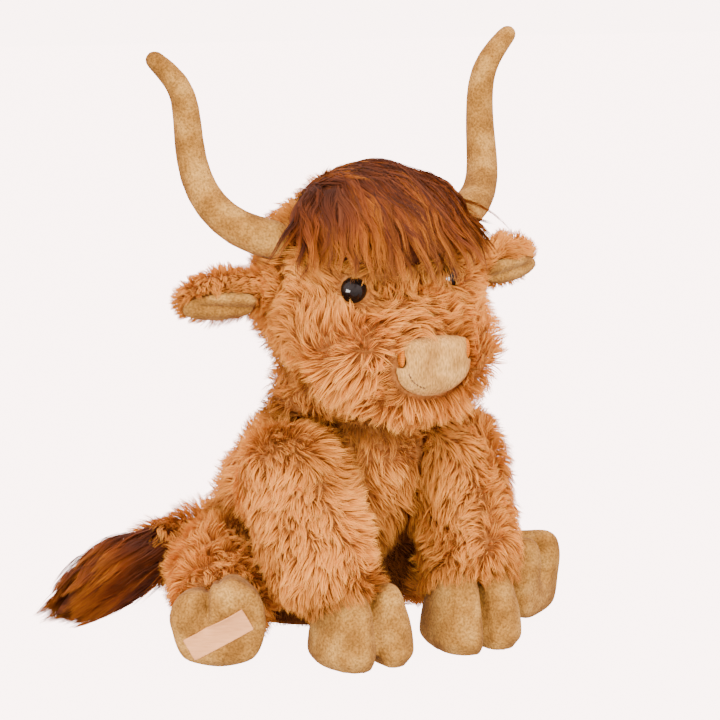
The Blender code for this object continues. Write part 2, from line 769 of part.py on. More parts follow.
def foreleg_path_outline():
    """Side view of the room that a foreleg sweeps: round the shoulder, then ahead of the leg's rear line."""
    leg = foreleg_direction()
    hang_angle = math.atan2(leg.z, leg.y)
    raised_angle = hang_angle - FORELEG_RAISE
    radius = SHOULDER_RADIUS + SOCKET_GAP
    centre_y, centre_z = SHOULDER[1], SHOULDER[2]
    far = 3 * FORELEG_DROP
    start = hang_angle + math.pi / 2
    end = raised_angle + 3 * math.pi / 2
    outline = [
        (
            centre_y + radius * math.cos(start) + far * math.cos(hang_angle),
            centre_z + radius * math.sin(start) + far * math.sin(hang_angle),
        )
    ]
    for k in range(PATH_STEPS + 1):
        angle = start + (end - start) * k / PATH_STEPS
        outline.append((centre_y + radius * math.cos(angle), centre_z + radius * math.sin(angle)))
    outline.append(
        (
            centre_y + radius * math.cos(end) + far * math.cos(raised_angle),
            centre_z + radius * math.sin(end) + far * math.sin(raised_angle),
        )
    )
    return outline


def hoof_cage(centre, across, toe, up, sizes):
    """A rounded block with a cleft that parts its front into two toes; centre is the middle of the sole."""
    width, length, height = sizes
    bm = bmesh.new()
    bmesh.ops.create_cube(bm, size=2)
    bmesh.ops.subdivide_edges(bm, edges=bm.edges, cuts=3, use_grid_fill=True)
    for vert in bm.verts:
        x, y, z = vert.co
        ahead = max(y, 0)
        rise = (z + 1) / 2
        inner = 1 - abs(2 * abs(x) - 1)
        narrow = 1 + (HOOF_TOP_SHARE - 1) * rise
        round_x = x * math.sqrt(1 - HOOF_ROUND_SHARE * y * y / 2)
        round_y = y * math.sqrt(1 - HOOF_ROUND_SHARE * x * x / 2)
        if abs(x) < GAP:
            round_y -= HOOF_CLEFT_SHARE * ahead
            rise -= HOOF_CLEFT_DIP_SHARE * ahead * rise
        else:
            round_x -= math.copysign(inner * ahead * (abs(x) - HOOF_CLEFT_WIDTH_SHARE), x)
        crown = HOOF_SOLE_CROWN * (1 - rise) * (1 - x * x) * (1 - y * y)
        offset_x = round_x * narrow * width / 2
        offset_y = round_y * narrow * length / 2
        vert.co = centre + across * offset_x + toe * offset_y + up * (rise * height - crown)
    return bm


def make_hoof(build, name, cage, leg_room, floor, pivot):
    hoof = build.piece(cage, name, BEIGE_VELOUR)
    build.cut(hoof, leg_room)
    build.cut(hoof, floor)
    build.hang(hoof, pivot)
    return hoof


def make_forelegs(build, body, floor):
    inner = FORELEG_INNER_X
    slice_start = Vector((-inner - GAP, SHOULDER[1], SHOULDER[2]))
    sideways = Vector((1, 0, 0))
    width = 2 * (inner + GAP)
    slice_disc = cone_along(slice_start, sideways, width, FORELEG_SLICE_RADIUS, FORELEG_SLICE_RADIUS)
    chest_room = build.cutter(slice_disc, "chest_room")
    hoof_places = {"left": FORE_HOOF_LEFT_X, "right": FORE_HOOF_RIGHT_X}
    for name, side in SIDES:
        path = prism(foreleg_path_outline(), side * inner, side * (inner + 3 * SHOULDER_RADIUS))
        build.cut(body, build.cutter(path, "foreleg_path_" + name))
        leg = build.piece(loft(foreleg_sections(side), LIMB_SIDES), "foreleg_" + name, GOLDEN_FUR)
        build.cut(leg, chest_room)
        pivot = build.pivot("shoulder_pivot_" + name, place(SHOULDER, side))
        build.hang(leg, pivot)

        room = loft(foreleg_sections(side, GAP), LIMB_SIDES)
        leg_room = build.cutter(room, "foreleg_room_" + name, levels=FORM_LEVELS)
        toe = Vector((side * math.sin(FORE_HOOF_TURN), -math.cos(FORE_HOOF_TURN), 0))
        up = Vector((0, 0, 1))
        centre = place((hoof_places[name], FORE_HOOF_Y, -HOOF_SOLE_CUT), side)
        cage = hoof_cage(centre, toe.cross(up), toe, up, (HOOF_WIDTH, HOOF_LENGTH, HOOF_HEIGHT))
        make_hoof(build, "fore_hoof_" + name, cage, leg_room, floor, pivot)


def hind_leg_sections(side, grow=0):
    hip = place(HIP, side)
    leg = place((HIND_LEG_OUT, -HIND_LEG_FORWARD, -HIND_LEG_DROP), side)
    points = [hip, hip + leg / 2, hip + leg]
    radii = [HIP_RADIUS, (HIP_RADIUS + HIND_CUFF_RADIUS) / 2, HIND_CUFF_RADIUS]
    return swept_sections(points, radii, Vector((0, 0, 1)), HIND_CUFF_ROUNDING, grow)


def make_hind_legs(build, body, floor):
    for name, side in SIDES:
        leg = build.piece(loft(hind_leg_sections(side), LIMB_SIDES), "hind_leg_" + name, GOLDEN_FUR)
        build.cut(leg, floor)
        pivot = build.pivot("hip_pivot_" + name, place(HIP, side))
        build.hang(leg, pivot)
        hip_room = loft(hind_leg_sections(side, SOCKET_GAP), LIMB_SIDES)
        build.cut(body, build.cutter(hip_room, "hip_room_" + name, levels=FORM_LEVELS))
        hip_seat = ball(place(HIP, side), HIP_RADIUS + HIP_SEAT_GAP, SOCKET_STEPS)
        build.cut(body, build.cutter(hip_seat, "hip_seat_" + name))

        room = loft(hind_leg_sections(side, GAP), LIMB_SIDES)
        leg_room = build.cutter(room, "hind_leg_room_" + name, levels=FORM_LEVELS)
        forward = place((HIND_LEG_OUT, -HIND_LEG_FORWARD, 0), side).normalized()
        cuff = place(HIP, side) + place((HIND_LEG_OUT, -HIND_LEG_FORWARD, 0), side)
        sole = cuff + forward * HIND_SOLE_REACH
        sole.z = HIND_SOLE_Z
        toe = Vector((0, 0, 1))
        across = toe.cross(forward)
        cage = hoof_cage(sole, across, toe, -forward, (HIND_HOOF_WIDTH, HIND_HOOF_LENGTH, HIND_HOOF_HEIGHT))
        hoof = make_hoof(build, "hind_hoof_" + name, cage, leg_room, floor, pivot)
        if name == "right":
            make_sole_patch(build, hoof, sole, across, toe, forward, pivot)


def make_sole_patch(build, hoof, sole, across, toe, forward, pivot):
    """A plain sewn patch across the sole."""
    centre = sole - toe * SOLE_PATCH_DROP + forward * SOLE_PATCH_SEAT
    along = across * math.cos(SOLE_PATCH_TURN) + toe * math.sin(SOLE_PATCH_TURN)
    wide = forward.cross(along)
    for name, grow in (("sole_patch", 0), ("sole_patch_room", GAP)):
        bm = bmesh.new()
        bmesh.ops.create_cube(bm, size=2)
        for vert in bm.verts:
            x = vert.co.x * (SOLE_PATCH_LENGTH / 2 + grow)
            y = vert.co.y * (SOLE_PATCH_WIDTH / 2 + grow)
            z = vert.co.z * (SOLE_PATCH_THICKNESS / 2 + grow)
            vert.co = centre + along * x + wide * y + forward * z
        if grow:
            build.cut(hoof, build.cutter(bm, name))
        else:
            patch = build.piece(bm, name, PATCH_CREAM, levels=0)
            build.hang(patch, pivot)


def tail_points():
    root = Vector(TAIL_ROOT)
    points = []
    radii = []
    for out, back, drop, size in TAIL_POINT_SHARES:
        points.append(root + Vector((-out * TAIL_OUT, back * TAIL_BACK, -drop * TAIL_DROP)))
        radii.append(size * TAIL_RADIUS)
    return points, radii


def make_tail(build, body, floor):
    points, radii = tail_points()
    upward = Vector((0, 0, 1))
    tail_cage = loft(swept_sections(points, radii, upward, TAIL_END_ROUNDING), LIMB_SIDES)
    tail = build.piece(tail_cage, "tail", GOLDEN_FUR)
    pivot = build.pivot("tail_pivot", points[0])
    build.hang(tail, pivot)
    seam = (TAIL_RADIUS, TAIL_SOCKET_FLARE, TAIL_SOCKET_REACH)
    cut_socket(build, body, "tail", points[0], points[1] - points[0], seam)

    start = points[-1]
    tuft_points = []
    tuft_radii = []
    for out, forward, drop, size in TUFT_POINT_SHARES:
        fall = drop * (start.z - TUFT_TIP_Z)
        tuft_points.append(start + Vector((-out * TUFT_LENGTH, -forward * TUFT_FORWARD, -fall)))
        tuft_radii.append(size * TUFT_RADIUS)
    tuft_sections = swept_sections(tuft_points, tuft_radii, upward)
    tuft = build.piece(loft(tuft_sections, LIMB_SIDES), "tail_tuft", RUST_HAIR)
    room = loft(swept_sections(points, radii, upward, TAIL_END_ROUNDING, GAP), LIMB_SIDES)
    build.cut(tuft, build.cutter(room, "tail_room", levels=FORM_LEVELS))
    build.cut(tuft, floor)
    build.hang(tuft, pivot)


def main():
    clear_scene()
    build = Builder()
    floor = build.cutter(floor_slab(), "floor_cutter")
    body = make_body(build)
    make_seat(build, body)
    neck_centre = Vector((0, NECK_Y, NECK_Z))
    build.carrier = build.pivot("neck_turn_pivot", neck_centre)
    neck_room = make_neck(build)
    build.carrier = build.pivot("head_nod_pivot", neck_centre)
    nod_pivot = build.carrier
    head = make_head(build, neck_room)
    head_room = build.cutter(loft(head_sections(GAP), HEAD_SIDES), "head_room", levels=FORM_LEVELS)
    make_forelock(build, head_room)
    make_nose(build, head_room)
    make_eyes(build, head)
    make_horns(build, head)
    make_ears(build, head)
    nod_pivot.rotation_euler.y = -HEAD_ROLL
    build.carrier = None
    make_forelegs(build, body, floor)
    make_hind_legs(build, body, floor)
    make_tail(build, body, floor)


main()
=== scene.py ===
"""Looks of the seated plush Highland cow: fur, long hair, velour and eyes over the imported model.

The cow faces -Y, its left side is +X, and it sits on Z = 0. All lengths are in metres.
"""

import json
import math

import bmesh
import bpy
import numpy as np
from mathutils import Matrix, Vector
from mathutils.bvhtree import BVHTree
from mathutils.kdtree import KDTree

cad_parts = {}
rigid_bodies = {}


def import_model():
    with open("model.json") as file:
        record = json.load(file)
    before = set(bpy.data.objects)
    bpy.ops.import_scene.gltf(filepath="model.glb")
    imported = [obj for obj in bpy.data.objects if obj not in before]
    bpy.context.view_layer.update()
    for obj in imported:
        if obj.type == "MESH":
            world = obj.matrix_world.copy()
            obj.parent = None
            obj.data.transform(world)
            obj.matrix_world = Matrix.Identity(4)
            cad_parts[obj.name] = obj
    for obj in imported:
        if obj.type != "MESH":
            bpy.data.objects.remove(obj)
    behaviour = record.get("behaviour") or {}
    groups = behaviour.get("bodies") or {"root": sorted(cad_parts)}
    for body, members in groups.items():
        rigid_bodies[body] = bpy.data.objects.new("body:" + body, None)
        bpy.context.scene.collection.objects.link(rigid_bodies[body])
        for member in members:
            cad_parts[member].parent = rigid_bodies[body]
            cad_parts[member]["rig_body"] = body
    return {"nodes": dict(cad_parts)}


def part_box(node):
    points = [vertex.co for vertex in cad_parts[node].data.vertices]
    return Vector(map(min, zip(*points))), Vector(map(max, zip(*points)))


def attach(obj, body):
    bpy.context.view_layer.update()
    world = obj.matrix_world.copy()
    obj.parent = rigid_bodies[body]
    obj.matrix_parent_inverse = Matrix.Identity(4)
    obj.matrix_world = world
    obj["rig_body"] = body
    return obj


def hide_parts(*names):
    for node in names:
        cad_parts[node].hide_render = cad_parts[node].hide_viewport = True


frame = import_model()
NODES = frame["nodes"]

# Camera: where it stands, what it looks at, and its lens
CAMERA_PLACE = (-0.5474, -0.9929, 0.3087)
CAMERA_TARGET = (0.01976, -0.01066, 0.11889)
CAMERA_LENS_MM = 125
CAMERA_SENSOR_MM = 36

# Head: the head leans to the cow's right about the neck's centre
NECK_CENTRE = (0, -0.0380, 0.1210)
HEAD_ROLL = math.radians(2.5)
NOSE_CENTRE = (0, -0.1080, 0.1320)
EYE_PLACE = (0.0235, -0.0860, 0.1640)

# Fur: how a stuffed form is drawn in under it, and how its strands grow
SKIN_VOXEL = 0.0022
SKIN_DEPTH = 0.0031
EAR_SKIN_DEPTH = 0.0030
TAIL_SKIN_DEPTH = 0.0016
NEIGHBOUR_NEAR = 0.0008
NEIGHBOUR_FAR = 0.0060
FLOOR_CLEAR = 0.0004
# how deep a root may lie in a neighbour that the fur grows over
BURIED = 0.0012
# how many strands grow on each form
STRANDS = {
    "body": 31500, "neck": 11500, "head": 37000,
    "foreleg": 20000, "hind_leg": 17000, "ear": 7500, "tail": 10000,
}
FUR_LENGTH = 0.0095
EAR_FUR_LENGTH = 0.0070
TAIL_FUR_LENGTH = 0.0120
# least and most, against the usual, of the fur's length and of how steeply it stands
LENGTH_SHARES = (0.80, 1.14)
RAISE_SHARES = (0.55, 1.25)
# how far a strand first stands out before it bends over
BEND_OUT_SHARE = 0.7
STRAND_WIDTH = 0.00029
STRAND_TAPER = (1.0, 1.0, 0.75, 0.0)
# strands to a tuft and how far its tips are drawn together, for large tufts and the small ones in them
LARGE_TUFT = (120, 0.22)
SMALL_TUFT = (12, 0.42)
# how far the tip of each small tuft strays, against its length
TUFT_TILT = 0.38
FRIZZ = 0.0008
WHIRL_SCALES = (0.0110, 0.0190, 0.0300, 0.0420)
EYE_CLEARINGS = (0.0030, 0.0052)
EYE_PARTINGS = (0.0032, 0.0120)
# how far from a hoof the fur turns down over it, and how far it flares
CUFF_REACH = 0.0100
CUFF_FLARE = 0.42
# how far from a neighbouring form the fur is painted darker, a painted shade
CAVITY_SHADE_REACH = 0.0160
# heights and depths between which the fur is painted darker towards the belly, a painted shade, and how
# much
BELLY_HEIGHTS = (0.0300, 0.0780)
BELLY_DEPTHS = (-0.0300, 0.0100)
BELLY_SHADE = 0.97
# distances from the nose between which the comb sets in, and where the back of the head begins
NOSE_COMB = (0.018, 0.040)
HEAD_BACK = (-0.07, -0.02)
# above the nose, and within these distances of its middle, the fur is combed down over it
BROW_HEIGHTS = (0.0060, 0.0160)
BROW_WIDTHS = (0.0200, 0.0340)
# puffs of longer fur on the head that lies out from their middle and is painted lighter there, a painted
# light: place, radius and growth
PUFFS = (
    ((-0.0290, -0.0960, 0.1400), 0.0150, 0.45),
    ((0.0290, -0.0960, 0.1400), 0.0150, 0.45),
    ((0, -0.1000, 0.1090), 0.0170, 0.30),
    ((0.0020, -0.1000, 0.1580), 0.0120, 0.25),
)

# Velour: how finely each piece is meshed
VELOUR_VOXEL = 0.0011
HORN_VOXEL = 0.0013
HOOF_VOXEL = 0.0009
NOSE_VOXEL = 0.0008
BAG_VOXEL = 0.0012
TRIM_VOXEL = 0.0004

# Hooves: the crease between the toes
CREASE_WIDTH = 0.0027
CREASE_DEPTH = 0.0080
TOE_SWELL = 0.0024
SOLE_ROUNDING = 0.0070
# shares of the hoof's reach between which the crease sets in
TOE_FRONT_SHARES = (-0.25, 0.55)
# how far each crease lies from its hoof's middle
FORE_CREASE_SHIFTS = {"left": 0.0030, "right": -0.0048}
HIND_CREASE_SHIFTS = {"left": 0, "right": 0.0056}
# width and depth of the crease and how much lower one toe ends: the cow's left hind hoof
# shows a wide gap between its toes, the right one a narrow fold and uneven toes
HIND_CREASES = {"left": (0.0042, 0.0130, 0), "right": (0.0022, 0.0058, 0.0044)}
# how much the fore hooves swell low down and narrow towards the cuff, against their width,
# and between which shares of their height they narrow
LOW_SWELL = 0.05
TOP_PINCH = 0.07
PINCH_SHARES = (0.55, 1.0)
# how far ahead of the sole the patch is dropped from, and how far it sinks into the nap
PATCH_SEARCH = 0.0200
PATCH_SINK = 0.0002
FORE_HOOF_TURN = math.radians(4)
HIND_LEG_HEADING = (0.0280, -0.0490, 0)

# Nose: its mouth stitches, its nostrils, how much wider it is at the cow's left, its square top
MOUTH_STITCHES = 7
MOUTH_START = math.radians(193)
MOUTH_END = math.radians(243)
MOUTH_REACH = 0.90
NOSTRIL_NARROW = 0.58
NOSTRIL_FLAT = 0.82
NOSE_WIDER = 0.0024
STITCH_LENGTH = 0.0014
STITCH_RADIUS = 0.00028

# Ear linings: a swell on either side of a fold that fades towards the tip
LINING_SWELL = 0.0022
LINING_CREASE = 0.0005
LINING_FADE_SHARES = (0.2, 0.9)

# Forelock and its hairs
FORELOCK_CENTRE = (0, -0.0670, 0.1900)
FORELOCK_HALF = (0.0400, 0.0310, 0.0270)
FORELOCK_LOCKS = 304
NAPE_LOCKS = 80
CORE_VOXEL = 0.0015
FORELOCK_DEPTH = 0.0016
TUFT_DEPTH = 0.0034
# how much lower the crown lies at the cow's left, and between which places it falls to that
CROWN_FALL = 0.0032
CROWN_FALL_X = (-0.0020, 0.0120)
# how high the hair may stand off the crown, from the cow's right to its left, with a notch between humps
CROWN_LIFTS = ((-1, -0.74, -0.62, -0.40, -0.26, 0, 1), (0.0056, 0.0042, 0.0006, 0, 0.0010, 0.0004, 0.0002))
LEAST_LIFT = 0.0003
# a lock's length, and how much shorter it is at the cow's left and beside the parting
LOCK_LENGTH = 0.074
OUTER_SHORTER = 0.030
BESIDE_SHORTER = 0.026
# how far the hairs of a lock spread
FORELOCK_SPREAD = 0.0014
NAPE_SPREAD = 0.0018
SWEPT_SPREAD = 0.0013
TUFT_SPREAD = 0.0020
NAPE_LENGTHS = (0.022, 0.036)
NAPE_LIFTS = (0.0002, 0.0014)
SWEPT_LENGTHS = (0.018, 0.034)
SWEPT_LIFTS = (0.0010, 0.0028)
TUFT_LIFTS = (-0.0012, 0.0014)
TUFT_TOP_LIFT = 0.0046
# locks that sweep out over the cow's left horn
SWEPT_LOCKS = 30
FRINGE_Z = 0.1626
FRINGE_RAGGED = 0.0030
# how much higher the fringe ends at places across the head, from the cow's right to its left
FRINGE_RISES = ((-0.024, 0, 0.014, 0.019, 0.030, 0.045), (0.0080, 0, -0.0016, -0.0008, 0.0080, 0.0110))
HAIR_STEPS = 9
HAIR_STRIDE = 0.0016
# hair lies close on slopes that face up more than this, and hangs free of steeper ones
HUG_SLOPE = 0.15
HAIR_WIDTH = 0.00036
HAIRS_PER_LOCK = 34
TUFT_LOCKS = 200

# Surroundings: the backdrop's colour, its brightness for the camera, and the light from above and below
BACKDROP = (1.0, 0.77, 0.735)
BACKDROP_GLOW = 8.4
# how little of the lamps' light the paper gives back, which keeps pools of light and shadows faint
PAPER_SHADE = 0.20
SKY_ABOVE = 1.9
SKY_BELOW = 0.95
# each lamp's name, place, width and height, power, colour, and whether it shows in gloss
LAMP_AIM = (0, -0.03, 0.12)
LAMPS = (
    ("key", (-0.75, -1.45, 1.25), 0.7, 31, (1, 0.97, 0.92), False),
    ("front_right", (-1.32, -0.70, 0.26), 0.4, 16, (1, 0.97, 0.92), True),
    ("front_left", (0.05, -1.50, 0.24), 0.3, 12, (1, 0.97, 0.92), True),
    ("fill", (1.4, -0.9, 0.9), 0.8, 12, (1, 0.96, 0.91), False),
)

# Sizes of the velour's nap and of the stitches' threads
NAP = 0.0010
STITCH_PITCH = 0.00012
MOUTH_PITCH = 0.0006

UV_MAP = "OFBake"
RANDOM_SEED = 20


def smooth_step(low, high, value):
    share = np.clip((value - low) / (high - low), 0, 1)
    return share * share * (3 - 2 * share)


def unit(vectors):
    length = np.linalg.norm(vectors, axis=-1, keepdims=True)
    return vectors / np.maximum(length, 1e-12)


def along_surface(vectors, normals):
    """What is left of vectors when their part along the normals is taken away."""
    return vectors - normals * np.sum(vectors * normals, axis=-1, keepdims=True)


TO_NECK = Matrix.Translation(NECK_CENTRE)
ROLL = TO_NECK @ Matrix.Rotation(-HEAD_ROLL, 4, "Y") @ Matrix.Translation(-Vector(NECK_CENTRE))


def on_head(point):
    """A place given for an upright head, moved with the head's lean."""
    return np.array(ROLL @ Vector(point))


# Materials


class Paint:
    """A node material being put together."""

    def __init__(self, name, roughness=0.85, sheen=0.0, gloss=0.5):
        self.material = bpy.data.materials.new(name)
        self.material.use_nodes = True
        self.tree = self.material.node_tree
        self.shader = self.tree.nodes["Principled BSDF"]
        self.shader.inputs["Roughness"].default_value = roughness
        self.shader.inputs["Sheen Weight"].default_value = sheen
        self.shader.inputs["Sheen Roughness"].default_value = 0.5
        self.shader.inputs["Specular IOR Level"].default_value = gloss

    def node(self, kind, **settings):
        made = self.tree.nodes.new(kind)
        for key, value in settings.items():
            if isinstance(value, (int, float)) and key in made.inputs:
                made.inputs[key].default_value = value
            else:
                setattr(made, key, value)
        return made

    def link(self, source, target):
        self.tree.links.new(source, target)

    def coordinates(self, stretch=(1, 1, 1)):
        """Object coordinates in metres, stretched."""
        place = self.node("ShaderNodeTexCoord")
        mapping = self.node("ShaderNodeMapping")
        mapping.inputs["Scale"].default_value = stretch
        self.link(place.outputs["Object"], mapping.inputs["Vector"])
        return mapping.outputs["Vector"]

    def noise(self, size, detail=2.0, stretch=(1, 1, 1)):
        """Noise whose lumps are about size across."""
        made = self.node("ShaderNodeTexNoise")
        made.inputs["Scale"].default_value = 1 / size
        made.inputs["Detail"].default_value = detail
        self.link(self.coordinates(stretch), made.inputs["Vector"])
        return made.outputs["Fac"]

    def ramp(self, value, stops):
        made = self.node("ShaderNodeValToRGB")
        elements = made.color_ramp.elements
        while len(elements) < len(stops):
            elements.new(0.5)
        for element, (position, colour) in zip(elements, stops):
            element.position = position
            element.color = (*colour, 1)
        self.link(value, made.inputs["Fac"])
        return made.outputs["Color"]

    def mix(self, first, second, factor, blend="MIX"):
        made = self.node("ShaderNodeMix", data_type="RGBA", blend_type=blend)
        if isinstance(factor, float):
            made.inputs["Factor"].default_value = factor
        else:
            self.link(factor, made.inputs["Factor"])
        self.link(first, made.inputs["A"])
        self.link(second, made.inputs["B"])
        return made.outputs["Result"]

    def colour(self, output):
        self.link(output, self.shader.inputs["Base Color"])

    def bump(self, height, distance, strength=1.0):
        made = self.node("ShaderNodeBump")
        made.inputs["Distance"].default_value = distance
        made.inputs["Strength"].default_value = strength
        self.link(height, made.inputs["Height"])
        self.link(made.outputs["Normal"], self.shader.inputs["Normal"])


def strand_material(name, along, across, gloss):
    """Colour from root to tip, times a colour per strand that varies at random and, in the fur, also
    carries painted shade and painted light.
    """
    paint = Paint(name, roughness=0.7, gloss=gloss)
    place = paint.node("ShaderNodeUVMap")
    place.uv_map = UV_MAP
    parts = paint.node("ShaderNodeSeparateXYZ")
    paint.link(place.outputs["UV"], parts.inputs["Vector"])
    length_colour = paint.ramp(parts.outputs["Y"], along)
    strand_colour = paint.ramp(parts.outputs["X"], across)
    paint.colour(paint.mix(length_colour, strand_colour, 1.0, "MULTIPLY"))
    return paint.material


def backing_material(name, dark, light):
    """The knitted ground under the fur and hair, coloured dark so that the gaps between strands read as
    shade: a painted shade.
    """
    paint = Paint(name, roughness=0.95, gloss=0.1)
    paint.colour(paint.ramp(paint.noise(0.004, 3.0), ((0.35, dark), (0.7, light))))
    paint.bump(paint.noise(0.0012, 2.0), 0.0005)
    return paint.material


def velour_material(name, dark, middle, light, nap_stretch=(1, 1, 1)):
    """Short nap: soft brushed patches painted lighter and darker, a painted light and shade of the nap, a
    fine speckle that follows the nap's bump, and a sheen.
    """
    paint = Paint(name, roughness=0.9, sheen=0.04, gloss=0.12)
    # brushed patches lighter and darker: painted light and painted shade of the nap
    brushed = paint.ramp(paint.noise(0.011, 4.0), ((0.34, dark), (0.5, middle), (0.68, light)))
    # the speckle is darker where the nap's bump is low and lighter where it is high
    nap = paint.noise(NAP, 3.0, nap_stretch)
    speckle = paint.ramp(nap, ((0.34, (0.62, 0.60, 0.54)), (0.64, (1.16, 1.15, 1.1))))
    paint.colour(paint.mix(brushed, speckle, 1.0, "MULTIPLY"))
    paint.bump(nap, 0.0006, 0.9)
    return paint.material


def thread_material(name, dark, light, pitch):
    """Satin stitch: fine threads side by side, a pitch apart."""
    paint = Paint(name, roughness=0.6, gloss=0.25)
    wave = paint.node("ShaderNodeTexWave")
    wave.bands_direction = "Z"
    wave.inputs["Scale"].default_value = 1 / pitch / 20
    wave.inputs["Distortion"].default_value = 0.6
    paint.link(paint.coordinates(), wave.inputs["Vector"])
    paint.colour(paint.ramp(wave.outputs["Fac"], ((0.1, dark), (0.7, light))))
    paint.bump(wave.outputs["Fac"], 0.0002)
    return paint.material


def satin_material(name, dark, light):
    """Smooth ribbon cloth: fine threads that run one way."""
    paint = Paint(name, roughness=0.6, sheen=0.1)
    threads = paint.noise(0.0009, 3.0, (0.15, 0.15, 1.4))
    paint.colour(paint.ramp(threads, ((0.3, dark), (0.7, light))))
    paint.bump(threads, 0.00008)
    return paint.material


def plastic_material(name, colour, roughness, gloss):
    paint = Paint(name, roughness=roughness, gloss=gloss)
    shade = tuple(channel * 1.4 for channel in colour)
    paint.colour(paint.ramp(paint.noise(0.02), ((0.4, colour), (0.6, shade))))
    return paint.material


def paper_material(name, colour, glow):
    """Pale backdrop paper that glows a little, so that shadows on it stay faint."""
    paint = Paint(name, roughness=0.95, gloss=0.0)
    shade = tuple(channel * 0.985 * PAPER_SHADE for channel in colour)
    bright = tuple(channel * PAPER_SHADE for channel in colour)
    paint.colour(paint.ramp(paint.noise(0.25), ((0.4, shade), (0.6, bright))))
    paint.shader.inputs["Emission Color"].default_value = (*colour, 1)
    paint.shader.inputs["Emission Strength"].default_value = glow
    return paint.material


GOLDEN_ALONG = (
    (0.0, (0.32, 0.095, 0.016)),
    (0.30, (0.62, 0.225, 0.034)),
    (0.70, (0.88, 0.36, 0.058)),
    (1.0, (0.98, 0.50, 0.100)),
)
# from strand to strand: random tone, and in the fur painted shade near neighbours, at the belly and per
# form, and painted light on the puffs; the dark end is painted shade
GOLDEN_ACROSS = (
    (0.0, (0.09, 0.05, 0.02)),
    (0.30, (0.62, 0.53, 0.45)),
    (0.62, (0.94, 0.90, 0.86)),
    (1.0, (1.0, 1.0, 1.0)),
)
RUST_ALONG = (
    (0.0, (0.125, 0.034, 0.011)),
    (0.30, (0.190, 0.050, 0.012)),
    (0.62, (0.27, 0.060, 0.005)),
    (0.85, (0.48, 0.138, 0.008)),
    (1.0, (0.70, 0.250, 0.020)),
)
RUST_ACROSS = (
    (0.0, (0.16, 0.12, 0.10)),
    (0.45, (0.46, 0.40, 0.36)),
    (1.0, (1.0, 1.0, 1.0)),
)

GOLDEN_FUR = strand_material("golden_fur", GOLDEN_ALONG, GOLDEN_ACROSS, 0.15)
RUST_HAIR = strand_material("rust_hair", RUST_ALONG, RUST_ACROSS, 0.32)
# dark backings under the fur and hair: painted shade in the gaps between strands
GOLDEN_BACKING = backing_material("golden_backing", (0.22, 0.075, 0.016), (0.46, 0.18, 0.042))
RUST_BACKING = backing_material("rust_backing", (0.05, 0.014, 0.006), (0.12, 0.035, 0.012))
BEIGE_VELOUR = velour_material(
    "beige_velour", (0.255, 0.115, 0.021), (0.37, 0.18, 0.036), (0.52, 0.285, 0.070)
)
NOSE_VELOUR = velour_material(
    "nose_velour", (0.43, 0.215, 0.054), (0.575, 0.31, 0.084), (0.74, 0.435, 0.142), (1.6, 1, 0.5)
)
STITCH = thread_material("rust_stitch", (0.50, 0.13, 0.003), (0.68, 0.21, 0.006), STITCH_PITCH)
MOUTH_THREAD = thread_material("mouth_thread", (0.06, 0.03, 0.015), (0.22, 0.11, 0.05), MOUTH_PITCH)
PATCH_SATIN = satin_material("patch_satin", (0.70, 0.315, 0.115), (0.84, 0.40, 0.165))
BAG_CLOTH = satin_material("bag_cloth", (0.60, 0.59, 0.55), (0.80, 0.79, 0.75))
BLACK_GLOSS = plastic_material("black_gloss", (0.004, 0.003, 0.0025), 0.08, 0.5)
WASHER_PLASTIC = plastic_material("washer_plastic", (0.55, 0.55, 0.52), 0.4, 0.5)
FLOOR_PAPER = paper_material("floor_paper", BACKDROP, BACKDROP_GLOW)


# Pieces


def mesh_object(name, mesh, material):
    made = bpy.data.objects.new(name, mesh)
    bpy.context.scene.collection.objects.link(made)
    mesh.materials.clear()
    mesh.materials.append(material)
    return made


def evaluated_mesh(source):
    graph = bpy.context.evaluated_depsgraph_get()
    return bpy.data.meshes.new_from_object(source.evaluated_get(graph))


def remeshed(name, voxel, smoothing):
    """A smooth, evenly meshed copy of a CAD node."""
    helper = bpy.data.objects.new(name + "_helper", NODES[name].data.copy())
    bpy.context.scene.collection.objects.link(helper)
    remesh = helper.modifiers.new("remesh", "REMESH")
    remesh.mode = "VOXEL"
    remesh.voxel_size = voxel
    smooth = helper.modifiers.new("smooth", "SMOOTH")
    smooth.iterations = smoothing
    smooth.factor = 0.5
    mesh = evaluated_mesh(helper)
    bpy.data.objects.remove(helper)
    mesh.shade_smooth()
    return mesh


def vertex_arrays(mesh):
    count = len(mesh.vertices)
    places = np.empty(count * 3)
    normals = np.empty(count * 3)
    mesh.vertices.foreach_get("co", places)
    mesh.vertices.foreach_get("normal", normals)
    return places.reshape(-1, 3), normals.reshape(-1, 3)


def set_places(mesh, places):
    mesh.vertices.foreach_set("co", places.ravel())
    mesh.update()


def mesh_tree(meshes):
    """One search tree over several meshes."""
    vertices = []
    faces = []
    for mesh in meshes:
        start = len(vertices)
        vertices += [vertex.co.copy() for vertex in mesh.vertices]
        faces += [tuple(start + k for k in polygon.vertices) for polygon in mesh.polygons]
    return BVHTree.FromPolygons(vertices, faces)


def surface_tree(names):
    return mesh_tree([NODES[name].data for name in names])


def neighbour_tree(name, over=()):
    """The surfaces beside a node, without those that its fur may grow over."""
    return surface_tree([other for other in NODES if other != name and other not in over])


def outside_of(names, places):
    """Which places aren't buried in the named nodes."""
    tree = surface_tree(names)
    clear = np.ones(len(places), dtype=bool)
    for k, place in enumerate(places):
        spot, normal, _, _ = tree.find_nearest(place)
        clear[k] = (Vector(place) - spot).dot(normal) > -BURIED
    return clear


def distances(tree, places):
    found = np.empty(len(places))
    for k, place in enumerate(places):
        found[k] = tree.find_nearest(place)[3]
    return found


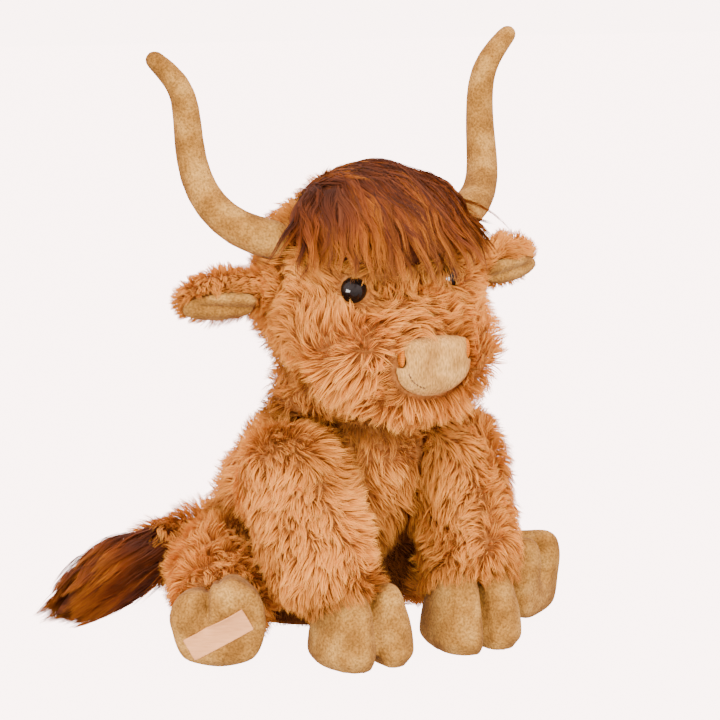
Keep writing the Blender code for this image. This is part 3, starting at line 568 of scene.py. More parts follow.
def make_skin(name, tree, depth=SKIN_DEPTH):
    """The backing of a furry form: drawn in under the fur, but kept where it meets its neighbours."""
    mesh = remeshed(name, SKIN_VOXEL, 6)
    places, normals = vertex_arrays(mesh)
    clear = smooth_step(NEIGHBOUR_NEAR, NEIGHBOUR_FAR, distances(tree, places))
    places = places - normals * (clear * depth)[:, None]
    set_places(mesh, places)
    skin = mesh_object(name + "_skin", mesh, GOLDEN_BACKING)
    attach(skin, body_of(name))
    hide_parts(name)
    return skin


def body_of(name):
    return NODES[name]["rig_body"]


def scattered(mesh, count, rng):
    """Random places on a mesh and the smooth normals there."""
    mesh.calc_loop_triangles()
    triangles = np.empty(len(mesh.loop_triangles) * 3, dtype=np.int64)
    mesh.loop_triangles.foreach_get("vertices", triangles)
    triangles = triangles.reshape(-1, 3)
    places, normals = vertex_arrays(mesh)
    corners = places[triangles]
    area = np.linalg.norm(np.cross(corners[:, 1] - corners[:, 0], corners[:, 2] - corners[:, 0]), axis=1)
    chosen = rng.choice(len(triangles), size=count, p=area / area.sum())
    first = np.sqrt(rng.random(count))
    second = rng.random(count)
    shares = np.stack((1 - first, first * (1 - second), first * second), axis=1)[:, :, None]
    spots = np.sum(corners[chosen] * shares, axis=1)
    facing = unit(np.sum(normals[triangles[chosen]] * shares, axis=1))
    return spots, facing


def whirl(places, rng_seed):
    """A smooth field of directions that turns about every 10 to 30 mm, as brushed plush does."""
    rng = np.random.default_rng(rng_seed)
    field = np.zeros_like(places)
    for size in WHIRL_SCALES:
        for _ in range(3):
            heading = unit(rng.normal(size=3))
            push = rng.normal(size=3)
            phase = rng.random() * math.tau
            field += np.sin(places @ heading * (math.tau / size) + phase)[:, None] * push
    return field / 3


def ribbon_mesh(name, paths, sides, widths, tint, material):
    """Flat tapering strands along paths, each (steps + 1) points, as one mesh."""
    count, points, _ = paths.shape
    rows = points - 1
    half = (sides * widths[:, :, None] / 2)[:, :rows]
    left = paths[:, :rows] - half
    right = paths[:, :rows] + half
    body = np.stack((left, right), axis=2).reshape(count, rows * 2, 3)
    vertices = np.concatenate((body, paths[:, -1:]), axis=1)
    per_strand = rows * 2 + 1
    quads = [(2 * k, 2 * k + 1, 2 * k + 3, 2 * k + 2) for k in range(rows - 1)]
    pattern = [corner for quad in quads for corner in quad] + [2 * rows - 2, 2 * rows - 1, 2 * rows]
    pattern = np.array(pattern)
    starts = [4 * k for k in range(rows)]
    loops = len(pattern)

    mesh = bpy.data.meshes.new(name)
    mesh.vertices.add(count * per_strand)
    mesh.vertices.foreach_set("co", vertices.ravel())
    mesh.loops.add(count * loops)
    corner_index = (np.arange(count)[:, None] * per_strand + pattern).ravel()
    mesh.loops.foreach_set("vertex_index", corner_index.astype(np.int32))
    mesh.polygons.add(count * rows)
    loop_start = (np.arange(count)[:, None] * loops + np.array(starts)).ravel()
    mesh.polygons.foreach_set("loop_start", loop_start.astype(np.int32))
    mesh.update(calc_edges=True)

    layer = mesh.uv_layers.new(name=UV_MAP)
    row_share = np.repeat(np.arange(rows) / rows, 2)
    v = np.append(row_share, 1.0)
    offset = np.append(np.tile((-0.004, 0.004), rows), 0.0)
    u = 0.01 + 0.98 * np.clip(tint, 0, 1)[:, None] + offset[None, :]
    uv = np.stack((np.clip(u, 0, 1), np.broadcast_to(v, u.shape)), axis=2)
    layer.data.foreach_set("uv", uv[:, pattern].astype(np.float32).ravel())
    mesh.shade_smooth()
    return mesh_object(name, mesh, material)


def nearest_index(centres, places):
    tree = KDTree(len(centres))
    for k, centre in enumerate(centres):
        tree.insert(centre, k)
    tree.balance()
    return np.array([tree.find(place)[1] for place in places])


def slide_clear(tree, starts, directions, lengths):
    """Turns each strand that would run into a neighbour to slide along it, and shortens what still hits."""
    turned = directions.copy()
    allowed = lengths.copy()
    for k in range(len(starts)):
        start = Vector(starts[k])
        heading = Vector(directions[k])
        _, normal, _, distance = tree.ray_cast(start, heading, lengths[k] * 1.1)
        if distance is None:
            continue
        if normal.dot(heading) > 0:
            allowed[k] = distance * 0.8
            continue
        slid = (heading - normal * heading.dot(normal) * 1.12).normalized()
        again = tree.ray_cast(start, slid, lengths[k] * 1.1)[3]
        turned[k] = slid
        if again is not None:
            allowed[k] = again * 0.8
    return turned, allowed


def part_round_eyes(roots, normals):
    """A sideways push that parts the fur round each eye."""
    push = np.zeros_like(roots)
    for eye, clearing, parting in zip(EYE_SPOTS, EYE_CLEARINGS, EYE_PARTINGS):
        away = roots - eye
        near = 1 - smooth_step(clearing, parting, np.linalg.norm(away, axis=1))
        push += along_surface(unit(away), normals) * near[:, None]
    return push


def short_by_eyes(roots):
    """How much of its length the fur keeps near each eye."""
    kept = np.ones(len(roots))
    for eye, clearing, parting in zip(EYE_SPOTS, EYE_CLEARINGS, EYE_PARTINGS):
        away = smooth_step(clearing, parting, np.linalg.norm(roots - eye, axis=1))
        kept *= 0.42 + 0.58 * away
    return kept


def cuff_direction(roots, hoof, comb):
    """Down over a hoof and a little outward from it."""
    heading = unit(comb(roots))
    outward = unit(along_surface(roots - middle(hoof), heading))
    return unit(heading + outward * CUFF_FLARE)


def between(field, low, high):
    """A smooth field of about -1 to 1 turned into a number between low and high."""
    return low + (high - low) * np.clip(0.5 + field / 2, 0, 1)


def grow_fur(
    name, skin, tree, count, comb, seed,
    length=FUR_LENGTH, lift=0.80, lean=0.50, turn=0.60, hoof=None, hollow=0.55, shade=1.0, over=(),
):
    """Plush fur: strands that lean along comb, turn with the whirl and gather into tufts within tufts."""
    rng = np.random.default_rng(RANDOM_SEED + seed)
    roots, normals = scattered(skin.data, int(count * 1.3), rng)
    near = distances(tree, roots)
    keep = (near > NEIGHBOUR_NEAR) & (roots[:, 2] > 3 * FLOOR_CLEAR)
    for eye, clearing in zip(EYE_SPOTS, EYE_CLEARINGS):
        keep &= np.linalg.norm(roots - eye, axis=1) > clearing
    if over:
        keep &= outside_of(over, roots)
    roots = roots[keep]
    normals = normals[keep]
    near = near[keep]

    flow = along_surface(comb(roots), normals) * lean + along_surface(whirl(roots, seed), normals) * turn
    flow += part_round_eyes(roots, normals)
    lengths = length * between(whirl(roots, seed + 400)[:, 0], *LENGTH_SHARES) * short_by_eyes(roots)
    puffed = np.zeros(len(roots))
    for puff, radius, growth in PUFFS:
        apart = roots - on_head(puff)
        share = np.exp(-((np.linalg.norm(apart, axis=1) / radius) ** 2))
        flow += along_surface(unit(apart), normals) * (0.10 * share)[:, None]
        lengths *= 1 + growth * share
        puffed = np.maximum(puffed, share)
    raised = lift * between(whirl(roots, seed + 300)[:, 0], *RAISE_SHARES) * (1 + 0.8 * puffed)
    direction = unit(normals * raised[:, None] + flow)
    if hoof:
        to_hoof = distances(surface_tree([hoof]), roots)
        share = (1 - smooth_step(0.4 * CUFF_REACH, CUFF_REACH, to_hoof))[:, None]
        direction = unit(direction * (1 - share) + cuff_direction(roots, hoof, comb) * share)

    large = max(len(roots) // LARGE_TUFT[0], 1)
    small = max(len(roots) // SMALL_TUFT[0], 1)
    direction, reach = slide_clear(tree, roots + normals * NEIGHBOUR_NEAR, direction, lengths)
    small_owner = nearest_index(roots[:small], roots)
    large_owner = nearest_index(roots[:large], roots)
    kept = np.flatnonzero(reach > 0.25 * length)[:count]
    small_owner = small_owner[kept]
    large_owner = large_owner[kept]
    uneven = (reach * (0.82 + 0.36 * rng.random(len(reach))))[:small, None]
    tips = roots + direction * reach[:, None]
    free = smooth_step(NEIGHBOUR_NEAR, NEIGHBOUR_FAR, near[:small])
    tilt = rng.normal(size=(small, 3)) * (TUFT_TILT * free)[:, None]
    small_tips = roots[:small] + unit(direction[:small] + tilt) * uneven
    root = roots[kept]
    facing = normals[kept]
    amount = len(root)

    own = reach[kept] * (0.84 + 0.28 * rng.random(amount))
    tip = root + direction[kept] * own[:, None] + rng.normal(size=(amount, 3)) * FRIZZ
    tip += (tips[large_owner] - tip) * LARGE_TUFT[1] + (small_tips[small_owner] - tip) * SMALL_TUFT[1]
    outward = facing * BEND_OUT_SHARE + direction[kept] * (1 - BEND_OUT_SHARE)
    bend = root + outward * (own / 2)[:, None]
    steps = np.linspace(0, 1, len(STRAND_TAPER))
    paths = np.stack([root * (1 - t) ** 2 + bend * 2 * t * (1 - t) + tip * t**2 for t in steps], axis=1)
    paths[:, :, 2] = np.maximum(paths[:, :, 2], FLOOR_CLEAR)

    flat = unit(np.cross(tip - root, facing + rng.normal(size=(amount, 3)) * 0.32))
    sides = np.repeat(flat[:, None, :], len(steps), axis=1)
    wide = STRAND_WIDTH * (0.7 + 0.6 * rng.random(amount))
    widths = wide[:, None] * np.array(STRAND_TAPER)
    patch = between(whirl(root, seed + 500)[:, 0], 0, 1)
    # painted shade: the fur's tint is painted darker near neighbouring forms
    unshaded_share = hollow + (1 - hollow) * smooth_step(0, CAVITY_SHADE_REACH, near[kept])
    # painted shade in the belly between the forelegs
    if name == "body":
        sunk = (1 - smooth_step(*BELLY_HEIGHTS, root[:, 2])) * (1 - smooth_step(*BELLY_DEPTHS, root[:, 1]))
        unshaded_share *= 1 - BELLY_SHADE * sunk
    # painted light on the puffs: their painted shade is taken away and their fur painted lighter
    unshaded_share += (1 - unshaded_share) * puffed[kept]
    # random tone by patch and by strand, times the painted shade; shade paints a form's whole fur darker, a
    # painted shade, or lighter, a painted light
    tint = (0.34 + 0.33 * patch + 0.33 * rng.random(amount)) * unshaded_share * shade
    tint += 0.22 * puffed[kept]
    fur = ribbon_mesh(name + "_fur", paths, sides, widths, tint, GOLDEN_FUR)
    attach(fur, body_of(name))
    return fur


# Which way the fur of each form is combed


def downward(places):
    return np.broadcast_to(np.array((0.0, 0.0, -1.0)), places.shape)


def from_nose(places):
    """Out from the nose over the muzzle, but down over its top from the brow, and down at the back."""
    apart = places - on_head(NOSE_CENTRE)
    away = unit(apart) * smooth_step(*NOSE_COMB, np.linalg.norm(apart, axis=1))[:, None]
    brow = smooth_step(*BROW_HEIGHTS, apart[:, 2]) * (1 - smooth_step(*BROW_WIDTHS, np.abs(apart[:, 0])))
    away = away * (1 - brow)[:, None] + np.array((0.0, -0.3, -1.3)) * brow[:, None]
    back = smooth_step(*HEAD_BACK, places[:, 1])[:, None]
    return away * (1 - back) + np.array((0.0, 0.3, -1.0)) * back


def along(direction):
    heading = np.array(direction, dtype=float)

    def comb(places):
        return np.broadcast_to(heading, places.shape)

    return comb


def middle(name):
    low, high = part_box(name)
    return np.array((low + high) / 2)


# the cow's left eye first
EYE_SPOTS = [on_head((side * EYE_PLACE[0], EYE_PLACE[1], EYE_PLACE[2])) for side in (1, -1)]


def furry(name, count, comb, seed, **settings):
    depth = settings.pop("depth", SKIN_DEPTH)
    skin = make_skin(name, neighbour_tree(name), depth)
    tree = neighbour_tree(name, settings.get("over", ()))
    grow_fur(name, skin, tree, count, comb, seed, **settings)


def dress_fur():
    # how dark the painted shade near neighbours gets differs from form to form; shade paints the forelegs'
    # fur darker, a painted shade, and the ears' lighter, a painted light
    furry("body", STRANDS["body"], downward, 1, hollow=0.15)
    furry("neck", STRANDS["neck"], downward, 2, hollow=0.35)
    furry("head", STRANDS["head"], from_nose, 3, lean=0.42, turn=0.75, over=("forelock", "eye_left"))
    for k, side in enumerate(("left", "right")):
        fore_hoof = "fore_hoof_" + side
        hind_hoof = "hind_hoof_" + side
        shoulder_to_hoof = unit(middle(fore_hoof) - middle("foreleg_" + side))
        comb = along(shoulder_to_hoof)
        furry("foreleg_" + side, STRANDS["foreleg"], comb, 10 + k, hoof=fore_hoof, shade=0.86)
        hip_to_hoof = unit(middle(hind_hoof) - middle("hind_leg_" + side))
        comb = along(hip_to_hoof)
        furry("hind_leg_" + side, STRANDS["hind_leg"], comb, 20 + k, hoof=hind_hoof, over=(hind_hoof,))
        outward = unit(middle("ear_" + side) - middle("head"))
        furry(
            "ear_" + side, STRANDS["ear"], along(outward), 30 + k,
            length=EAR_FUR_LENGTH, depth=EAR_SKIN_DEPTH, turn=0.35, shade=1.2,
        )
    backward = unit(middle("tail_tuft") - middle("tail"))
    furry(
        "tail", STRANDS["tail"], along(backward), 40,
        length=TAIL_FUR_LENGTH, depth=TAIL_SKIN_DEPTH, hollow=1.0, shade=0.95, over=("tail_tuft",),
    )


# Velour pieces


def velour(name, material, voxel=VELOUR_VOXEL, smoothing=10):
    mesh = remeshed(name, voxel, smoothing)
    piece = mesh_object(name + "_velour", mesh, material)
    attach(piece, body_of(name))
    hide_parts(name)
    return piece


def soften(mesh, rounds):
    bm = bmesh.new()
    bm.from_mesh(mesh)
    for _ in range(rounds):
        bmesh.ops.smooth_vert(
            bm, verts=bm.verts, factor=0.5, use_axis_x=True, use_axis_y=True, use_axis_z=True
        )
    bm.to_mesh(mesh)
    bm.free()
    mesh.update()


def crease_hoof(
    piece, name, toe, up, shift=0.0, width=CREASE_WIDTH, depth=CREASE_DEPTH, swell=0.0, pinch=0.0, drop=0.0
):
    """Presses a crease between the two toes and swells each toe.

    A fore hoof also swells low down. One toe ends lower by drop.
    """
    places, normals = vertex_arrays(piece.data)
    low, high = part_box(name)
    centre = middle(name)
    half = np.abs(np.array(high - low) / 2 @ np.abs(toe))
    across = np.cross(toe, up)
    apart = places - centre
    sideways = apart @ across - shift
    front = smooth_step(*TOE_FRONT_SHARES, apart @ toe / half)
    pressed = depth * np.exp(-((sideways / width) ** 2)) * front
    swollen = TOE_SWELL * np.sin(np.clip(np.abs(sideways) / half, 0, 1) * math.pi) * front
    places = places - toe * (drop * smooth_step(0, 2 * width, sideways) * front)[:, None]
    rise = (places[:, 2] - low.z) / (high.z - low.z)
    fuller = swell * np.sin(np.clip(rise / 0.7, 0, 1) * math.pi)
    fuller -= pinch * smooth_step(*PINCH_SHARES, rise)
    flat = apart * (1, 1, 0)
    places = places - unit(apart) * pressed[:, None] + normals * swollen[:, None] + flat * fuller[:, None]
    set_places(piece.data, places)
    places, _ = vertex_arrays(piece.data)
    sunk = 1 - smooth_step(0, SOLE_ROUNDING, places[:, 2] - low.z)
    beside = (places - centre) * (1, 1, 0)
    places -= unit(beside) * (SOLE_ROUNDING * 0.4 * sunk**2)[:, None]
    set_places(piece.data, places)
    soften(piece.data, 3)
    places, _ = vertex_arrays(piece.data)
    places[:, 2] = np.maximum(places[:, 2], low.z)
    set_places(piece.data, places)


def widened(places, middle_x, reach):
    """Places of the nose moved out on the cow's left, as far as NOSE_WIDER at its edge."""
    places[:, 0] += NOSE_WIDER * smooth_step(0, reach, places[:, 0] - middle_x)
    return places


def square_top(piece, name):
    """Widens the top of the nose pad, which is broad where the fur overhangs it."""
    places, _ = vertex_arrays(piece.data)
    centre = middle(name)
    low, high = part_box(name)
    height = np.clip((places[:, 2] - centre[2]) / (high.z - centre[2]), 0, 0.93)
    widening = np.minimum((1 - height**4) ** 0.25 / np.sqrt(1 - height**2), 1.5)
    places[:, 0] = centre[0] + (places[:, 0] - centre[0]) * widening
    set_places(piece.data, widened(places, centre[0], (high.x - low.x) / 2))


def stitch_mouth():
    """Short stitches along the lower edge of the nose pad, towards the cow's right."""
    tree = surface_tree(["nose_pad"])
    low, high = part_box("nose_pad")
    centre = middle("nose_pad")
    half = np.array(high - low) / 2
    bm = bmesh.new()
    for k in range(MOUTH_STITCHES):
        angle = MOUTH_START + (MOUTH_END - MOUTH_START) * k / (MOUTH_STITCHES - 1)
        around = np.array((math.cos(angle), 0, math.sin(angle))) * half * MOUTH_REACH
        ahead = np.array((0, -2 * half[1], 0))
        spot, normal, _, _ = tree.find_nearest(centre + (around + ahead))
        run = Vector((-math.sin(angle), 0, math.cos(angle)))
        run = (run - normal * run.dot(normal)).normalized()
        made = bmesh.ops.create_icosphere(bm, subdivisions=2, radius=STITCH_RADIUS)
        turn = Matrix((run, normal, run.cross(normal))).transposed()
        stretch = Matrix.Diagonal((STITCH_LENGTH / STITCH_RADIUS / 2, 0.8, 1))
        bmesh.ops.transform(bm, matrix=(turn @ stretch).to_4x4(), verts=made["verts"])
        bmesh.ops.translate(bm, vec=spot + normal * STITCH_RADIUS * 0.4, verts=made["verts"])
    mesh = bpy.data.meshes.new("mouth_stitches")
    bm.to_mesh(mesh)
    bm.free()
    mesh.shade_smooth()
    stitches = mesh_object("mouth_stitches", mesh, MOUTH_THREAD)
    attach(stitches, body_of("nose_pad"))


def hoof_velour(name, toe, up, **settings):
    piece = velour(name, BEIGE_VELOUR, HOOF_VOXEL, 8)
    crease_hoof(piece, name, np.array(toe), np.array(up), **settings)
    return piece


def round_nostril(name):
    """A narrow upright oval of thread at the edge of the nose pad."""
    piece = velour(name, STITCH, TRIM_VOXEL, 4)
    places, _ = vertex_arrays(piece.data)
    centre = middle(name)
    low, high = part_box(name)
    height = np.clip((places[:, 2] - centre[2]) / (high.z - low.z) * 2, -1, 1)
    places[:, 0] = centre[0] + (places[:, 0] - centre[0]) * np.sqrt(1 - 0.96 * height**2) * NOSTRIL_NARROW
    places[:, 1] = high.y + (places[:, 1] - high.y) * NOSTRIL_FLAT
    nose_low, nose_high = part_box("nose_pad")
    set_places(piece.data, widened(places, middle("nose_pad")[0], (nose_high.x - nose_low.x) / 2))


def fold_lining(piece, side):
    """Swells an ear's lining on either side of a fold that runs from the ear's root towards its tip."""
    places, _ = vertex_arrays(piece.data)
    outward = unit(middle("ear_" + side) - middle("head"))
    front = np.array((0.0, -1.0, 0.0))
    across = unit(np.cross(outward, front))
    apart = places - middle("ear_lining_" + side)
    height = apart @ across
    reach = apart @ outward
    fade = 1 - smooth_step(*LINING_FADE_SHARES, reach / reach.max())
    swollen = LINING_SWELL * np.sin(np.clip(np.abs(height) / np.abs(height).max(), 0, 1) * math.pi)
    pressed = LINING_CREASE * np.exp(-((height / CREASE_WIDTH) ** 2))
    set_places(piece.data, places + front * ((swollen - pressed) * fade)[:, None])


def lay_patch(sole, ahead):
    """The blank patch, laid on the sole's velour, which lies a little off the CAD sole."""
    patch = velour("sole_patch", PATCH_SATIN, TRIM_VOXEL, 1)
    tree = mesh_tree([sole.data])
    places, _ = vertex_arrays(patch.data)
    depth = places @ ahead
    depth -= depth.min()
    for k, place in enumerate(places):
        start = Vector(place + ahead * PATCH_SEARCH)
        spot = tree.ray_cast(start, Vector(-ahead))[0]
        if spot is not None:
            places[k] = np.array(spot) + ahead * (depth[k] - PATCH_SINK)
    set_places(patch.data, places)


def dress_velour():
    for side in ("left", "right"):
        velour("horn_" + side, BEIGE_VELOUR, HORN_VOXEL)
        sign = 1 if side == "left" else -1
        toe = (sign * math.sin(FORE_HOOF_TURN), -math.cos(FORE_HOOF_TURN), 0)
        shift = FORE_CREASE_SHIFTS[side]
        hoof_velour("fore_hoof_" + side, toe, (0, 0, 1), shift=shift, swell=LOW_SWELL, pinch=TOP_PINCH)
        ahead = unit(np.array(HIND_LEG_HEADING) * (sign, 1, 1))
        shift = HIND_CREASE_SHIFTS[side]
        width, depth, drop = HIND_CREASES[side]
        sole = hoof_velour(
            "hind_hoof_" + side, (0, 0, 1), -ahead, shift=shift, width=width, depth=depth, drop=drop
        )
        if side == "right":
            lay_patch(sole, ahead)
        fold_lining(velour("ear_lining_" + side, BEIGE_VELOUR, NOSE_VOXEL, 6), side)
        round_nostril("nostril_" + side)
    square_top(velour("nose_pad", NOSE_VELOUR, NOSE_VOXEL), "nose_pad")
    stitch_mouth()
    # the seat panel takes the dark backing colour, a painted shade
    velour("seat_panel", GOLDEN_BACKING, NOSE_VOXEL, 2)
    velour("seat_bean_bag", BAG_CLOTH, BAG_VOXEL, 6)


def dress_hard_parts():
    for side in ("left", "right"):
        for stem, material in (("eye_", BLACK_GLOSS), ("eye_washer_", WASHER_PLASTIC)):
            node = NODES[stem + side]
            node.data.materials.clear()
            node.data.materials.append(material)
            node.data.shade_smooth()


# Long hair


def hair_guide(start, flow, length, lift, fringe, tree, weight, hug_slope, wander, rng):
    """One lock's path over the surfaces in tree, as evenly spaced points and the normals beside them."""
    place = Vector(start)
    heading = Vector(flow).normalized()
    points = []
    ups = []
    amount = max(int(length / HAIR_STRIDE), 4)
    phase = rng.uniform(0, math.tau)
    for j in range(amount + 1):
        share = j / amount
        spot, normal, _, _ = tree.find_nearest(place)
        outside = (place - spot).dot(normal)
        wanted = lift * min(1, 0.3 + 2 * share)
        if j == 0 or outside < wanted:
            place = spot + normal * wanted
        points.append(place.copy())
        ups.append(normal.copy())
        end = fringe + np.interp(place.x, *FRINGE_RISES)
        if j > 3 and place.z < end:
            break
        sideways = heading.cross(normal) * math.sin(phase + j * 0.38) * wander
        heading = (heading + Vector((0, 0, -1)) * (weight * 0.11 * share)).normalized()
        inward = heading.dot(normal) if outside < wanted + HAIR_STRIDE else 0
        if normal.z < hug_slope:
            inward = min(inward, 0)
        place = place + (heading - normal * inward + sideways).normalized() * HAIR_STRIDE
    position = np.linspace(0, len(points) - 1, HAIR_STEPS + 1)
    index = np.arange(len(points))
    points = np.array(points)
    ups = np.array(ups)
    guide = np.stack([np.interp(position, index, points[:, axis]) for axis in range(3)], axis=1)
    beside = np.stack([np.interp(position, index, ups[:, axis]) for axis in range(3)], axis=1)
    return guide, unit(beside)


def grow_hair(
    name, body, locks, tree, spread, seed, weight=1.0, hug_slope=HUG_SLOPE, wander=0.42, light=0.0
):
    """Long hair: locks, each a start, flow, length, lift and lowest height, drawn down by weight."""
    rng = np.random.default_rng(RANDOM_SEED + seed)
    pairs = [hair_guide(*lock, tree, weight, hug_slope, wander, rng) for lock in locks]
    guides = np.array([pair[0] for pair in pairs])
    ups = np.array([pair[1] for pair in pairs])
    owner = np.repeat(np.arange(len(locks)), HAIRS_PER_LOCK)
    amount = len(owner)
    out = ups[owner, 0]
    across = unit(np.cross(guides[owner, -1] - guides[owner, 0], out))
    offset = rng.normal(size=amount)[:, None] * across + rng.normal(size=amount)[:, None] * out * 0.35
    steps = np.linspace(0, 1, HAIR_STEPS + 1)
    own_share = 0.70 + 0.34 * rng.random(amount)
    own_spread = (spread * (0.55 + 0.75 * rng.random(len(locks))))[owner]
    phase = rng.random(amount) * math.tau
    paths = np.empty((amount, HAIR_STEPS + 1, 3))
    for j, share in enumerate(steps):
        position = own_share * share * HAIR_STEPS
        low = np.minimum(position.astype(int), HAIR_STEPS - 1)
        part = (position - low)[:, None]
        spine = guides[owner, low] * (1 - part) + guides[owner, low + 1] * part
        narrow = (own_spread * (1 - 0.66 * share**1.4))[:, None]
        wave = np.sin(phase + share * 4.0)[:, None] * across * 0.0007 * share
        paths[:, j] = spine + offset * narrow + wave
    paths[:, :, 2] = np.maximum(paths[:, :, 2], FLOOR_CLEAR)
    flat = unit(np.cross(paths[:, -1] - paths[:, 0], out + rng.normal(size=(amount, 3)) * 0.4))
    sides = np.repeat(flat[:, None, :], HAIR_STEPS + 1, axis=1)
    wide = HAIR_WIDTH * (0.6 + 0.7 * rng.random(amount))
    widths = wide[:, None] * (1 - steps**3)
    tint = 0.66 * rng.random(len(locks))[owner] + 0.34 * rng.random(amount)
    tint = light + (1 - light) * tint
    hair = ribbon_mesh(name, paths, sides, widths, tint, RUST_HAIR)
    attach(hair, body)
    return hair


def dark_core(name, depth, fall=0.0):
    """The form under long hair, drawn in, and by fall more where the crown lies low."""
    mesh = remeshed(name, CORE_VOXEL, 6)
    places, normals = vertex_arrays(mesh)
    low_side = smooth_step(*CROWN_FALL_X, places[:, 0]) * np.clip(normals[:, 2], 0, 1)
    set_places(mesh, places - normals * (depth + fall * low_side)[:, None])
    core = mesh_object(name + "_skin", mesh, RUST_BACKING)
    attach(core, body_of(name))
    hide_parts(name)
    return core


def on_forelock(across, forward):
    """A place on the forelock: across from the cow's right to its left, forward over the crown."""
    ring = math.sqrt(1 - across**2)
    toward = (across, -math.sin(forward) * ring, math.cos(forward) * ring)
    return on_head(np.array(FORELOCK_CENTRE) + np.array(FORELOCK_HALF) * toward)


def forelock_lock(across, forward, rng):
    """One lock: down over the cow's right side, straight down by the parting, then swept to its left."""
    start = on_forelock(0.95 * across, forward)
    lower = float(smooth_step(-0.3, 1.10, forward))
    swept = float(smooth_step(-0.66, -0.15, across))
    beside = 1 - float(smooth_step(-0.80, -0.50, across))
    outer = float(smooth_step(0.10, 0.80, across))
    sweep = -0.05 - 0.20 * beside + 1.25 * swept - 0.35 * outer + 0.28 * rng.normal()
    ahead = -math.cos(forward) * (1 - 0.6 * beside)
    fall = -math.sin(forward) - 0.9 * beside - 0.55 * outer + (1 - lower) * rng.uniform(-0.2, 0.2)
    full = LOCK_LENGTH - OUTER_SHORTER * outer - BESIDE_SHORTER * beside
    length = full * (1 - 0.34 * lower) * rng.uniform(0.72, 1.12)
    rise = float(np.interp(across, *CROWN_LIFTS)) * rng.random() ** 0.6 * (1 - 0.6 * lower)
    flow = (sweep, ahead + 0.25 * rng.normal(), fall)
    return start, flow, length, LEAST_LIFT + rise, FRINGE_Z + rng.normal() * FRINGE_RAGGED


def dress_forelock():
    """Long hair from the crown, and shorter hair that rises over its back edge."""
    core = dark_core("forelock", FORELOCK_DEPTH, CROWN_FALL)
    tree = mesh_tree([core.data, NODES["head"].data, NODES["horn_left"].data])
    rng = np.random.default_rng(RANDOM_SEED + 50)
    locks = []
    for _ in range(FORELOCK_LOCKS):
        locks.append(forelock_lock(rng.uniform(-1, 1), rng.uniform(-0.60, 1.10), rng))
    grow_hair("forelock_hair", "head", locks, tree, FORELOCK_SPREAD, 51, weight=0.75)
    locks = []
    for _ in range(NAPE_LOCKS):
        across = rng.uniform(-0.9, 0.9)
        forward = rng.uniform(-1.50, -0.50)
        flow = (0.4 + 0.3 * rng.normal(), -math.cos(forward), -math.sin(forward) + 0.2 * rng.normal())
        length = rng.uniform(*NAPE_LENGTHS)
        locks.append((on_forelock(across, forward), flow, length, rng.uniform(*NAPE_LIFTS), -1))
    grow_hair("nape_hair", "head", locks, tree, NAPE_SPREAD, 52, weight=0.2, hug_slope=-1)
    locks = []
    for _ in range(SWEPT_LOCKS):
        start = on_forelock(rng.uniform(0.30, 0.90), rng.uniform(-0.05, 0.40))
        flow = (0.88, -0.36 + 0.08 * rng.normal(), 0.02 + 0.12 * rng.normal())
        locks.append((start, flow, rng.uniform(*SWEPT_LENGTHS), rng.uniform(*SWEPT_LIFTS), -1))
    grow_hair("swept_hair", "head", locks, tree, SWEPT_SPREAD, 53, weight=0.25, wander=0.2)


def centre_line(name, start, count):
    """Centres and radii of slices of a long node, from near start to its far end."""
    places, _ = vertex_arrays(NODES[name].data)
    far = places[np.argmax(np.linalg.norm(places - start, axis=1))]
    direction = unit(far - start)
    reach = (places - start) @ direction
    edges = np.linspace(reach.min(), reach.max(), count + 1)
    centres = []
    radii = []
    for low, high in zip(edges, edges[1:]):
        inside = places[(reach >= low) & (reach <= high)]
        if len(inside) < 4:
            continue
        centre = (inside.min(axis=0) + inside.max(axis=0)) / 2
        centres.append(centre)
        radii.append(np.linalg.norm(inside - centre, axis=1).mean())
    return np.array(centres), np.array(radii)


def dress_tuft():
    dark_core("tail_tuft", TUFT_DEPTH)
    tree = surface_tree(["tail_tuft", "tail"])
    rng = np.random.default_rng(RANDOM_SEED + 60)
    low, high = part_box("tail_tuft")
    tail_end = np.array((high.x, high.y, middle("tail")[2]))
    centres, radii = centre_line("tail_tuft", tail_end, 8)
    tip = centres[-1] + unit(centres[-1] - centres[-2]) * radii[-1]
    locks = []
    for _ in range(TUFT_LOCKS):
        slot = rng.uniform(-0.5, len(centres) - 3)
        index = max(int(slot), 0)
        part = slot - index
        centre = centres[index] * (1 - part) + centres[index + 1] * part
        radius = radii[index] * (1 - part) + radii[index + 1] * part
        ahead = unit(centres[index + 2] - centre)
        side = unit(np.cross(ahead, (0.0, 0.0, 1.0)))
        up = np.cross(side, ahead)
        angle = rng.uniform(0, math.tau)
        start = centre + (side * math.cos(angle) + up * math.sin(angle)) * radius * 0.75
        flow = unit(tip - start) * 0.4 + unit(tip - tail_end) * 0.6 + 0.05 * rng.normal(size=3)
        upper = float(smooth_step(0.35, 0.85, math.sin(angle)))
        length = np.linalg.norm(tip - start) * rng.uniform(0.74, 1.02) * (1 - 0.20 * upper)
        lift = rng.uniform(*TUFT_LIFTS) + TUFT_TOP_LIFT * upper * rng.random()
        locks.append((start, flow, length, lift, -1))
    grow_hair("tuft_hair", "tail", locks, tree, TUFT_SPREAD, 61, weight=0.02, wander=0.12, light=0.24)


# Surroundings


def make_floor():
    bm = bmesh.new()
    bmesh.ops.create_grid(bm, x_segments=1, y_segments=1, size=6)
    mesh = bpy.data.meshes.new("floor")
    bm.to_mesh(mesh)
    bm.free()
    floor = mesh_object("floor", mesh, FLOOR_PAPER)
    # the paper's glow is for the camera alone, so it doesn't light the cow from below
    floor.visible_diffuse = False
    floor.visible_glossy = False


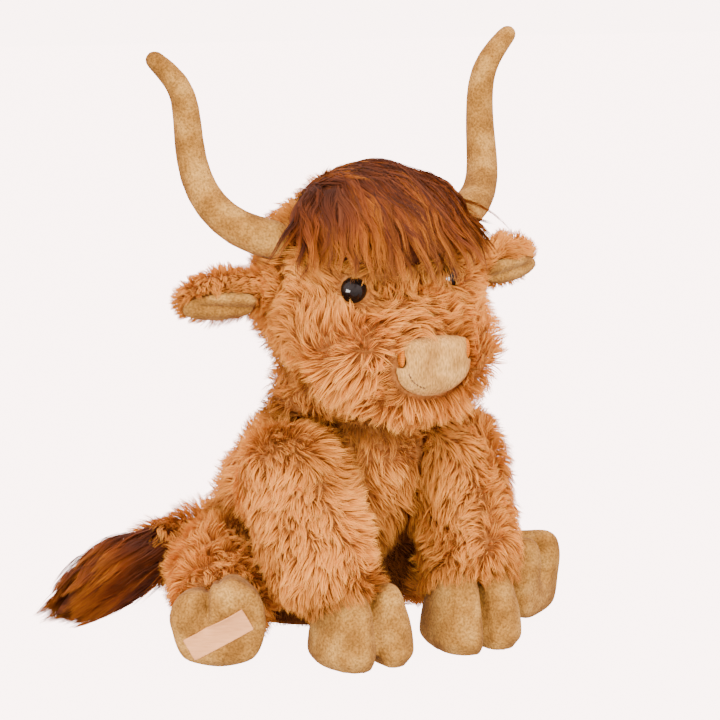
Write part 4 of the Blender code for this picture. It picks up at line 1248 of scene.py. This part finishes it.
def add_light(name, place, size, power, colour, in_gloss):
    light = bpy.data.lights.new(name, "AREA")
    light.shape = "RECTANGLE"
    light.size = size
    light.size_y = size
    light.energy = power
    light.color = colour
    lamp = bpy.data.objects.new(name, light)
    bpy.context.scene.collection.objects.link(lamp)
    lamp.location = place
    toward = Vector(LAMP_AIM) - Vector(place)
    lamp.rotation_euler = toward.to_track_quat("-Z", "Y").to_euler()
    lamp.visible_glossy = in_gloss


def make_lights():
    world = bpy.data.worlds.new("studio")
    world.use_nodes = True
    tree = world.node_tree
    background = tree.nodes["Background"]
    background.inputs["Color"].default_value = (*BACKDROP, 1)
    place = tree.nodes.new("ShaderNodeTexCoord")
    parts = tree.nodes.new("ShaderNodeSeparateXYZ")
    height = tree.nodes.new("ShaderNodeMapRange")
    height.inputs["From Min"].default_value = -0.3
    height.inputs["From Max"].default_value = 0.3
    height.inputs["To Min"].default_value = SKY_BELOW
    height.inputs["To Max"].default_value = SKY_ABOVE
    seen = tree.nodes.new("ShaderNodeLightPath")
    choice = tree.nodes.new("ShaderNodeMix")
    choice.inputs["B"].default_value = BACKDROP_GLOW
    tree.links.new(place.outputs["Generated"], parts.inputs["Vector"])
    tree.links.new(parts.outputs["Z"], height.inputs["Value"])
    tree.links.new(seen.outputs["Is Camera Ray"], choice.inputs["Factor"])
    tree.links.new(height.outputs["Result"], choice.inputs["A"])
    tree.links.new(choice.outputs["Result"], background.inputs["Strength"])
    bpy.context.scene.world = world
    for lamp in LAMPS:
        add_light(*lamp)


def make_camera():
    camera = bpy.data.cameras.new("camera")
    camera.lens = CAMERA_LENS_MM
    camera.sensor_width = CAMERA_SENSOR_MM
    camera.dof.use_dof = False
    holder = bpy.data.objects.new("camera", camera)
    bpy.context.scene.collection.objects.link(holder)
    holder.location = CAMERA_PLACE
    toward = Vector(CAMERA_TARGET) - Vector(CAMERA_PLACE)
    holder.rotation_euler = toward.to_track_quat("-Z", "Y").to_euler()
    bpy.context.scene.camera = holder


def main():
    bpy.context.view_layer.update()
    make_camera()
    make_lights()
    make_floor()
    dress_hard_parts()
    dress_velour()
    dress_fur()
    dress_forelock()
    dress_tuft()


main()
